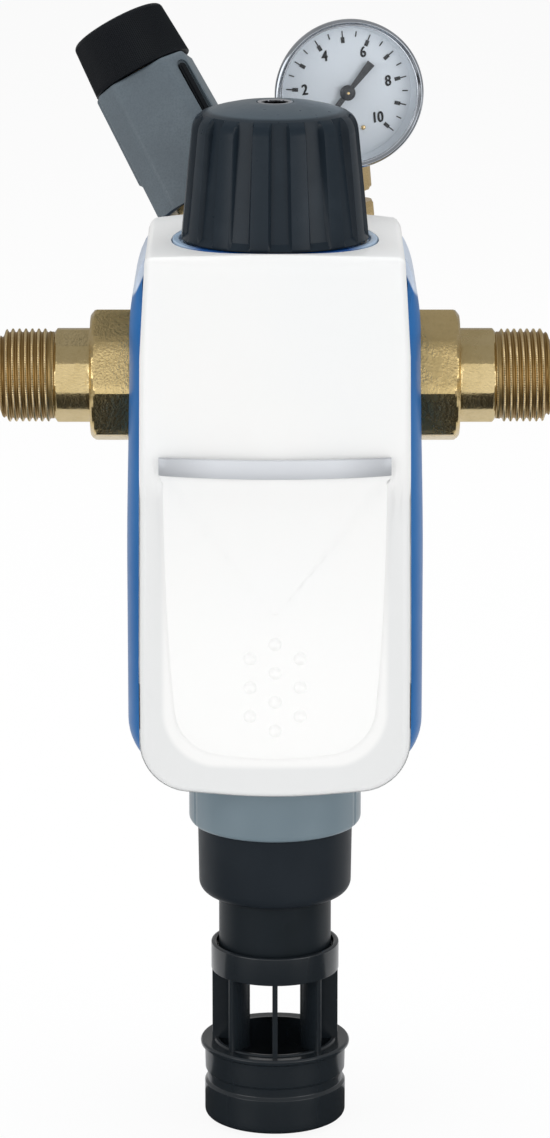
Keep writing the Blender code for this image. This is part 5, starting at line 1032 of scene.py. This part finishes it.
def make_collar():
    """The grey collar: the label's place is a bare, slightly raised field between two fine lines."""
    top, low = -118.6, -152
    outline = finely(soft(mm([(27.9, top), (30.5, top), (30.5, low, 2.4), (27.9, low)]), 8), 1.5 * MM)

    def field(x, y, z):
        radius = math.hypot(x, y)
        if radius < 28.2 * MM:
            return x, y, z
        angle = abs(math.degrees(math.atan2(x, -y)))
        raised = 0.35 * MM * (1 - smooth((angle - 63.5) / 1.2))
        line = 0.3 * MM * (1 - smooth(abs(angle - 68)))
        return at_radius(x, y, z, radius + raised * smooth((radius - 29 * MM) / MM) - line)

    band = turned(outline, 360, field)
    piece("collar_band", band, COLLAR_GREY, stands_for="collar_ring", place=FILTER_AXIS, crease=40)


def make_drain():
    """Cup, pipe and funnel below the bowl."""
    cup = finely(soft(mm([
        (25.0, -147.3), (27.5, -147.3), (27.0, -178.2, 4.6), (20.3, -178.2), (20.3, -173.6),
        (25.0, -173.6)]), 10), 2 * MM)
    piece("cup_shell", turned(cup, 128), CUP_BLACK, stands_for="drain_cup", place=FILTER_AXIS)
    pipe = finely(soft(mm([(18, -171.0), (20, -171.0), (20, -206.6, 0.4), (18, -206.7)]), 4), 2 * MM)
    piece("pipe_tube", turned(pipe, 128), PIPE_BLACK, stands_for="drain_pipe", place=FILTER_AXIS)
    ring = turned(soft(mm([
        (21.0, -197.0), (21.8, -196.7, 0.4), (22.8, -197.1, 0.5), (22.8, -207.0, 0.3), (21.0, -207.0, 0.2),
        (21.0, -199.5)]), 5), 128)
    piece("funnel_ring", ring, FUNNEL_BLACK, node="drain_funnel", place=FILTER_AXIS)
    spigot = turned(finely(soft(mm([
        (20.4, -234.5), (20.4, -233.3), (21.4, -233.3, 0.3), (21.8, -233.9, 0.3), (26.2, -233.6, 0.4),
        (26.7, -234.3, 0.4), (26.6, -235.3, 0.3), (25.2, -236.2, 0.6), (25.0, -244.4, 0.5),
        (24.3, -245.4, 0.5), (24.3, -248.4, 0.5), (25.2, -249.4, 0.3), (25.2, -262.0, 2.0), (22.8, -262.1),
        (22.8, -245.0), (20.4, -235.4)]), 5), 2 * MM), 144)
    piece("funnel_spigot", spigot, FUNNEL_BLACK, stands_for="drain_funnel", place=FILTER_AXIS)
    fins = bmesh.new()
    for i in range(8):
        place = Matrix.Rotation(math.tau * i / 8, 4, "Z") @ block_at((18.05, 0, -220.2), (8.9, 1.9, 27.6))
        made = bmesh.ops.create_cube(fins, size=1, matrix=place)
        edges = {edge for vert in made["verts"] for edge in vert.link_edges}
        upright = [e for e in edges if abs(e.verts[0].co.z - e.verts[1].co.z) > 10 * MM]
        bmesh.ops.bevel(fins, geom=upright, offset=0.25 * MM, segments=2, affect="EDGES", profile=0.5,
                        material=-1)
    piece("funnel_fins", fins, FUNNEL_BLACK, node="drain_funnel", place=FILTER_AXIS)


def make_hood():
    """The reducer's grey hood with rounded facets, and the dark rail in its slot."""
    low, high, step = 72.5, 122.4, 87.0

    def half(at):
        return 18.5 - 1.1 * (at - low) / (high - low)

    def corners(at, rib):
        size = half(at)
        cut, side = 7, 6
        swell = 1.5 if rib else 0.02
        return [(size, -size + cut), (size, size - cut), (size - cut, size), (-size + cut, size),
                (-size, size - cut), (-size, side), (-size - swell, side - 1), (-size - swell, 1 - side),
                (-size, -side), (-size, -size + cut), (-size + cut, -size), (size - cut, -size)]

    stations = [(low, False, 0), (low + 0.6, False, 0), (step - 0.5, False, 0), (step + 0.9, True, 0),
                (high - 1.2, True, 0), (high - 0.5, True, 0.35), (high - 0.1, True, 1.0)]
    fillets = [1.4, 1.4, 3.4, 3.4, 1.4, 0, 0.5, 0.5, 0, 1.4, 3.4, 3.4]
    rings = []
    for at, rib, back in stations:
        outline = rounded(mm([(x, y, r) for (x, y), r in zip(corners(at, rib), fillets)]), 5)
        rings.append([(p.x, p.y, at * MM) for p in inset(outline, back * MM)])
    hood = piece("hood_body", lofted(rings), HOOD_GREY, stands_for="reducer_hood", place=REDUCER_FRAME,
                 crease=22)
    bore = turned(mm([(0, 70), (16.8, 70), (16.8, 79), (14.5, 79), (14.5, 115.4), (3.8, 115.4), (3.8, 125),
                      (0, 125)]), 64)
    middle = 106.5
    facet = (half(middle) * 2 - 7) / math.sqrt(2)
    upright = Matrix(((0, 0, 1, 0), (1, 0, 0, 0), (0, 1, 0, 0), (0, 0, 0, 1)))
    turn = Matrix.Rotation(math.radians(-45), 4, "Z")
    stand = REDUCER_FRAME @ turn @ Matrix.Translation(Vector((facet, 1.8, middle)) * MM) @ upright
    carve(hood, cutter(bore, REDUCER_FRAME), cutter(slab(2.5, 12.6, -1.3, 4), stand))
    piece("hood_rail", slab(1.5, 11.4, -1.2, -0.5), BLACK, node="reducer_hood", place=stand)
    teeth = bmesh.new()
    turn = Matrix.Rotation(math.radians(30), 4, "Z")
    for i in range(28):
        place = Matrix.Translation(Vector((-0.4, (i - 13.5) * 0.76, -0.35)) * MM) @ turn
        bmesh.ops.create_cone(teeth, cap_ends=True, segments=6, radius1=0.5 * MM, radius2=0.36 * MM,
                              depth=0.5 * MM, matrix=place)
    piece("hood_rail_teeth", teeth, BLACK, node="reducer_hood", place=stand)


def slab(half_width, half_length, low, high):
    """A bar with round ends, from low to high along Z, in millimetres."""
    corners = ((-half_width, -half_length), (half_width, -half_length), (half_width, half_length),
               (-half_width, half_length))
    outline = rounded(mm([(x, y, half_width * 0.98) for x, y in corners]), 8)
    return plate(outline, low * MM, (high - low) * MM)


def make_grip():
    """The black grip, with fine ribs all round."""
    low, top = 122.7, 143.2
    ribs = 160
    outline = finely(soft(mm([(0, top), (17.5, top, 1.9), (18.7, low + 0.1, 0.4), (16.2, low),
                              (15.2, top - 3), (0, top - 3)]), 7), 2.2 * MM)

    def rib(x, y, z):
        radius = math.hypot(x, y)
        if radius < 16.9 * MM or z > (top - 1.5) * MM or z < (low + 0.5) * MM:
            return x, y, z
        wave = 0.5 + 0.5 * math.cos(math.atan2(y, x) * ribs)
        return at_radius(x, y, z, radius - 0.26 * MM * wave)

    grip = turned(outline, ribs * 6, rib)
    piece("grip_cap", grip, BLACK, stands_for="reducer_grip", place=REDUCER_FRAME, crease=60)


def make_gauge():
    """Case, bezel, printed scale and pointer of the gauge."""
    case = turned(finely(soft(mm([
        (0, -15), (21.8, -15, 1.6), (26.0, 3.4), (25.1, 3.4), (20.9, -14.1),
        (0, -14.1)]), 6), 3 * MM), 128)
    made = piece("case_drum", case, BEZEL, stands_for="gauge_case", place=GAUGE_FRAME)
    block = bmesh.new()
    bmesh.ops.create_cube(block, size=1, matrix=GAUGE_FRAME @ block_at((0, -24, -7.5), (11.6, 12, 11.6)))
    carve(made, cutter(block))
    bezel = turned(soft(mm([
        (25.3, 3.7), (26.6, 3.7, 0.2), (26.6, 5.9, 0.9), (25.6, 6.5, 0.3), (24.7, 5.4, 0.3),
        (24.2, 5.7, 0.15), (24.2, 5.2), (25.3, 5.2)]), 6), 160)
    piece("bezel_ring", bezel, BEZEL, stands_for="gauge_bezel", place=GAUGE_FRAME)
    step = turned(soft(mm([(23.0, 0.05), (23.3, 0.9, 0.1), (24.7, 3.6), (24.7, 0.05)]), 4), 160)
    piece("dial_rim", step, DIAL, node="gauge_dial", place=GAUGE_FRAME)
    scale = bmesh.new()
    for i in range(21):
        turn = Matrix.Rotation(math.radians(135 - 13.5 * i), 4, "Z")
        marks = [(19.9, 21.9, 0.42)] if i % 2 else [(19.3, 21.9, 0.42), (17.6, 19.7, 1.3)]
        for inner, outer, width in marks:
            place = turn @ block_at((0, (inner + outer) / 2, 0.14), (width, outer - inner, 0.1))
            bmesh.ops.create_cube(scale, size=1, matrix=place)
    piece("dial_scale", scale, PRINT, node="gauge_dial", place=GAUGE_FRAME)
    for number in (0, 2, 4, 6, 8, 10):
        make_number(number)
    angle = Matrix.Rotation(-math.radians(43.7), 4, "Z")
    left = [(-1.5, 13.4), (-0.8, 2.2), (-0.9, -2.2), (-1.0, -8.0)]
    arm = plate(mm(left + [(-x, y) for x, y in reversed(left)]), 1.6 * MM, 0.4 * MM)
    piece("pointer_arm", arm, POINTER_BLACK, stands_for="gauge_pointer", place=GAUGE_FRAME @ angle)
    hub = turned(soft(mm([(0, 2.9), (1.3, 2.9, 0.2), (2.7, 2.3, 0.4), (2.8, 1.55), (0, 1.55)]), 5), 64)
    piece("pointer_hub", hub, POINTER_BLACK, node="gauge_pointer", place=GAUGE_FRAME)
    pin = turned(soft(mm([(0, 3.15), (0.5, 3.1, 0.12), (0.55, 2.8), (0, 2.8)]), 4), 32)
    piece("pointer_pin", pin, FINE_BRASS, node="gauge_pointer", place=GAUGE_FRAME)
    rivet = turned(soft(mm([(0, 0.75), (0.7, 0.6, 0.3), (0.85, 0.03), (0, 0.03)]), 5), 40)
    spot = math.radians(90 - 160)
    place = Matrix.Translation(Vector((math.cos(spot), math.sin(spot), 0)) * 14 * MM)
    piece("dial_rivet", rivet, FINE_BRASS, node="gauge_dial", place=GAUGE_FRAME @ place)


def make_number(number):
    """One printed number of the scale."""
    words = bpy.data.curves.new("number", "FONT")
    words.body = str(number)
    words.size = 5.3 * MM
    words.align_x = "CENTER"
    words.align_y = "CENTER"
    words.extrude = 0.02 * MM
    words.offset = 0.05 * MM
    made = bpy.data.objects.new("number", words)
    bpy.context.scene.collection.objects.link(made)
    mesh = bpy.data.meshes.new_from_object(made.evaluated_get(bpy.context.evaluated_depsgraph_get()))
    bpy.data.objects.remove(made, do_unlink=True)
    shape = bmesh.new()
    for shift in (-0.2, 0, 0.2):
        moved = mesh.copy()
        moved.transform(Matrix.Translation((shift * MM, shift * 0.3 * MM, 0)))
        shape.from_mesh(moved)
        bpy.data.meshes.remove(moved)
    bpy.data.meshes.remove(mesh)
    spot = math.radians(225 - 27 * number)
    reach = (14.4 if number in (0, 10) else 15.2) * MM
    place = Matrix.Translation((reach * math.cos(spot), reach * math.sin(spot), 0.14 * MM))
    place = GAUGE_FRAME @ place @ Matrix.Diagonal((0.8, 1, 1, 1))
    piece(f"dial_number_{number}", shape, PRINT, node="gauge_dial", place=place)


def make_stem():
    """The gauge's square shank and the eight-sided adapter, with softened edges."""
    stand = GAUGE_FRAME @ Matrix.Translation((0, 0, -7.5 * MM)) @ Matrix.Rotation(-math.pi / 2, 4, "X")
    shank = turned(finely(soft(mm([
        (0, -21.1), (7.2, -21.1), (7.4, -35.4, 0.3), (6.2, -36.5), (4.6, -36.7), (4.6, -39.9),
        (0, -39.9)]), 4), 1.5 * MM), 160, sided(4, 5.5 * MM, 0, 0.5 * MM))
    piece("stem_square", shank, FINE_BRASS, stands_for="gauge_shank", place=stand, crease=25)
    block = turned(finely(soft(mm([
        (0, -40.3), (6.8, -40.3), (7.6, -41.2), (7.6, -45.7), (6.8, -46.6), (4.6, -46.7), (4.6, -86),
        (0, -86)]), 4), 1.5 * MM), 160, sided(8, 7.0 * MM, math.pi / 8, 0.1 * MM))
    piece("stem_block", block, FINE_BRASS, stands_for="gauge_adapter", place=stand, crease=25)


def make_seat():
    """The blue ring that the knob turns in."""
    ring = turned(soft(mm([
        (27, 54.5), (27, 59.3), (28.3, 59.3), (28.4, 56.0), (32.8, 56.0, 0.3), (33.2, 57.7, 0.4),
        (35.4, 57.7, 0.4), (35.4, 54.5)]), 4), 144)
    piece("seat_band", ring, SEAT_BLUE, stands_for="seat_ring", place=FILTER_AXIS)


def make_stage():
    """A pale floor under soft light, and a dark card that only gloss sees."""
    world = bpy.data.worlds.new("studio")
    bpy.context.scene.world = world
    world.use_nodes = True
    tree = world.node_tree
    back = tree.nodes["Background"]
    path = tree.nodes.new("ShaderNodeLightPath")
    mix = tree.nodes.new("ShaderNodeMix")
    mix.inputs["A"].default_value = 0.42
    mix.inputs["B"].default_value = 1.0
    tree.links.new(path.outputs["Is Camera Ray"], mix.inputs["Factor"])
    tree.links.new(mix.outputs["Result"], back.inputs["Strength"])
    back.inputs["Color"].default_value = (1, 1, 1, 1)

    pale = bpy.data.materials.new("pale_floor")
    pale.use_nodes = True
    tree = pale.node_tree
    shader = tree.nodes["Principled BSDF"]
    shader.inputs["Base Color"].default_value = (0.86, 0.86, 0.86, 1)
    shader.inputs["Roughness"].default_value = 0.9
    shader.inputs["Specular IOR Level"].default_value = 0.1
    glow = tree.nodes.new("ShaderNodeEmission")
    glow.inputs["Strength"].default_value = 1.015
    path = tree.nodes.new("ShaderNodeLightPath")
    gain = tree.nodes.new("ShaderNodeMath")
    gain.operation = "MULTIPLY"
    gain.inputs[1].default_value = 0.9
    both = tree.nodes.new("ShaderNodeMixShader")
    tree.links.new(path.outputs["Is Camera Ray"], gain.inputs[0])
    tree.links.new(gain.outputs[0], both.inputs[0])
    tree.links.new(shader.outputs[0], both.inputs[1])
    tree.links.new(glow.outputs[0], both.inputs[2])
    tree.links.new(both.outputs[0], tree.nodes["Material Output"].inputs["Surface"])
    floor = flat_sheet("floor", 4, 6, pale)
    floor.location.z = -0.2634

    add_card("dark_card_low", (0, -0.31, -0.2628), (2.4, 0.58))
    add_light("front", (0, -2.5, 0.45), (3.2, 1.3), 10)
    add_light("left_side", (-1.6, -1.4, 0.35), (1.3, 1.3), 11.5)
    add_light("right_side", (1.6, -1.4, 0.35), (1.3, 1.3), 11.5)
    add_light("top", (0.0, 0.35, 1.9), (2.2, 1.6), 30).visible_glossy = False


def flat_sheet(name, segments, size, material):
    """A flat square sheet of the stage."""
    shape = bmesh.new()
    bmesh.ops.create_grid(shape, x_segments=segments, y_segments=segments, size=size)
    mesh = bpy.data.meshes.new(name)
    shape.to_mesh(mesh)
    shape.free()
    mesh.materials.append(material)
    made = bpy.data.objects.new(name, mesh)
    bpy.context.scene.collection.objects.link(made)
    return made


def add_card(name, place, size):
    """A dark card for reflections, unseen by the camera and by the soft light."""
    dark = bpy.data.materials.new(name)
    dark.use_nodes = True
    dark.node_tree.nodes["Principled BSDF"].inputs["Base Color"].default_value = (0.01, 0.01, 0.01, 1)
    made = flat_sheet(name, 1, 0.5, dark)
    made.location = place
    made.scale = (*size, 1)
    made.visible_camera = False
    made.visible_diffuse = False
    made.visible_shadow = False


def add_light(name, place, size, power):
    lamp = bpy.data.lights.new(name, "AREA")
    lamp.shape = "RECTANGLE"
    lamp.size, lamp.size_y = size
    lamp.energy = power
    made = bpy.data.objects.new(name, lamp)
    made.location = place
    made.rotation_euler = (Vector((0, -0.03, -0.05)) - Vector(place)).to_track_quat("-Z", "Y").to_euler()
    bpy.context.scene.collection.objects.link(made)
    return made


def make_camera():
    """The photograph's view: from the front and a little above."""
    lens = bpy.data.cameras.new("camera")
    lens.lens = 151.2
    lens.sensor_width = 36
    made = bpy.data.objects.new("camera", lens)
    made.location = (0, -1.6757, 0.342)
    made.rotation_euler = (math.radians(90 - 13.86), 0, 0)
    bpy.context.scene.collection.objects.link(made)
    bpy.context.scene.camera = made


make_camera()
make_stage()
make_cover()
make_bar()
make_shell()
make_knob()
make_seat()
make_union("inlet", -1)
make_union("outlet", 1)
make_collar()
make_drain()
make_hood()
make_grip()
make_gauge()
make_stem()

bpy.context.scene.view_settings.view_transform = "Standard"
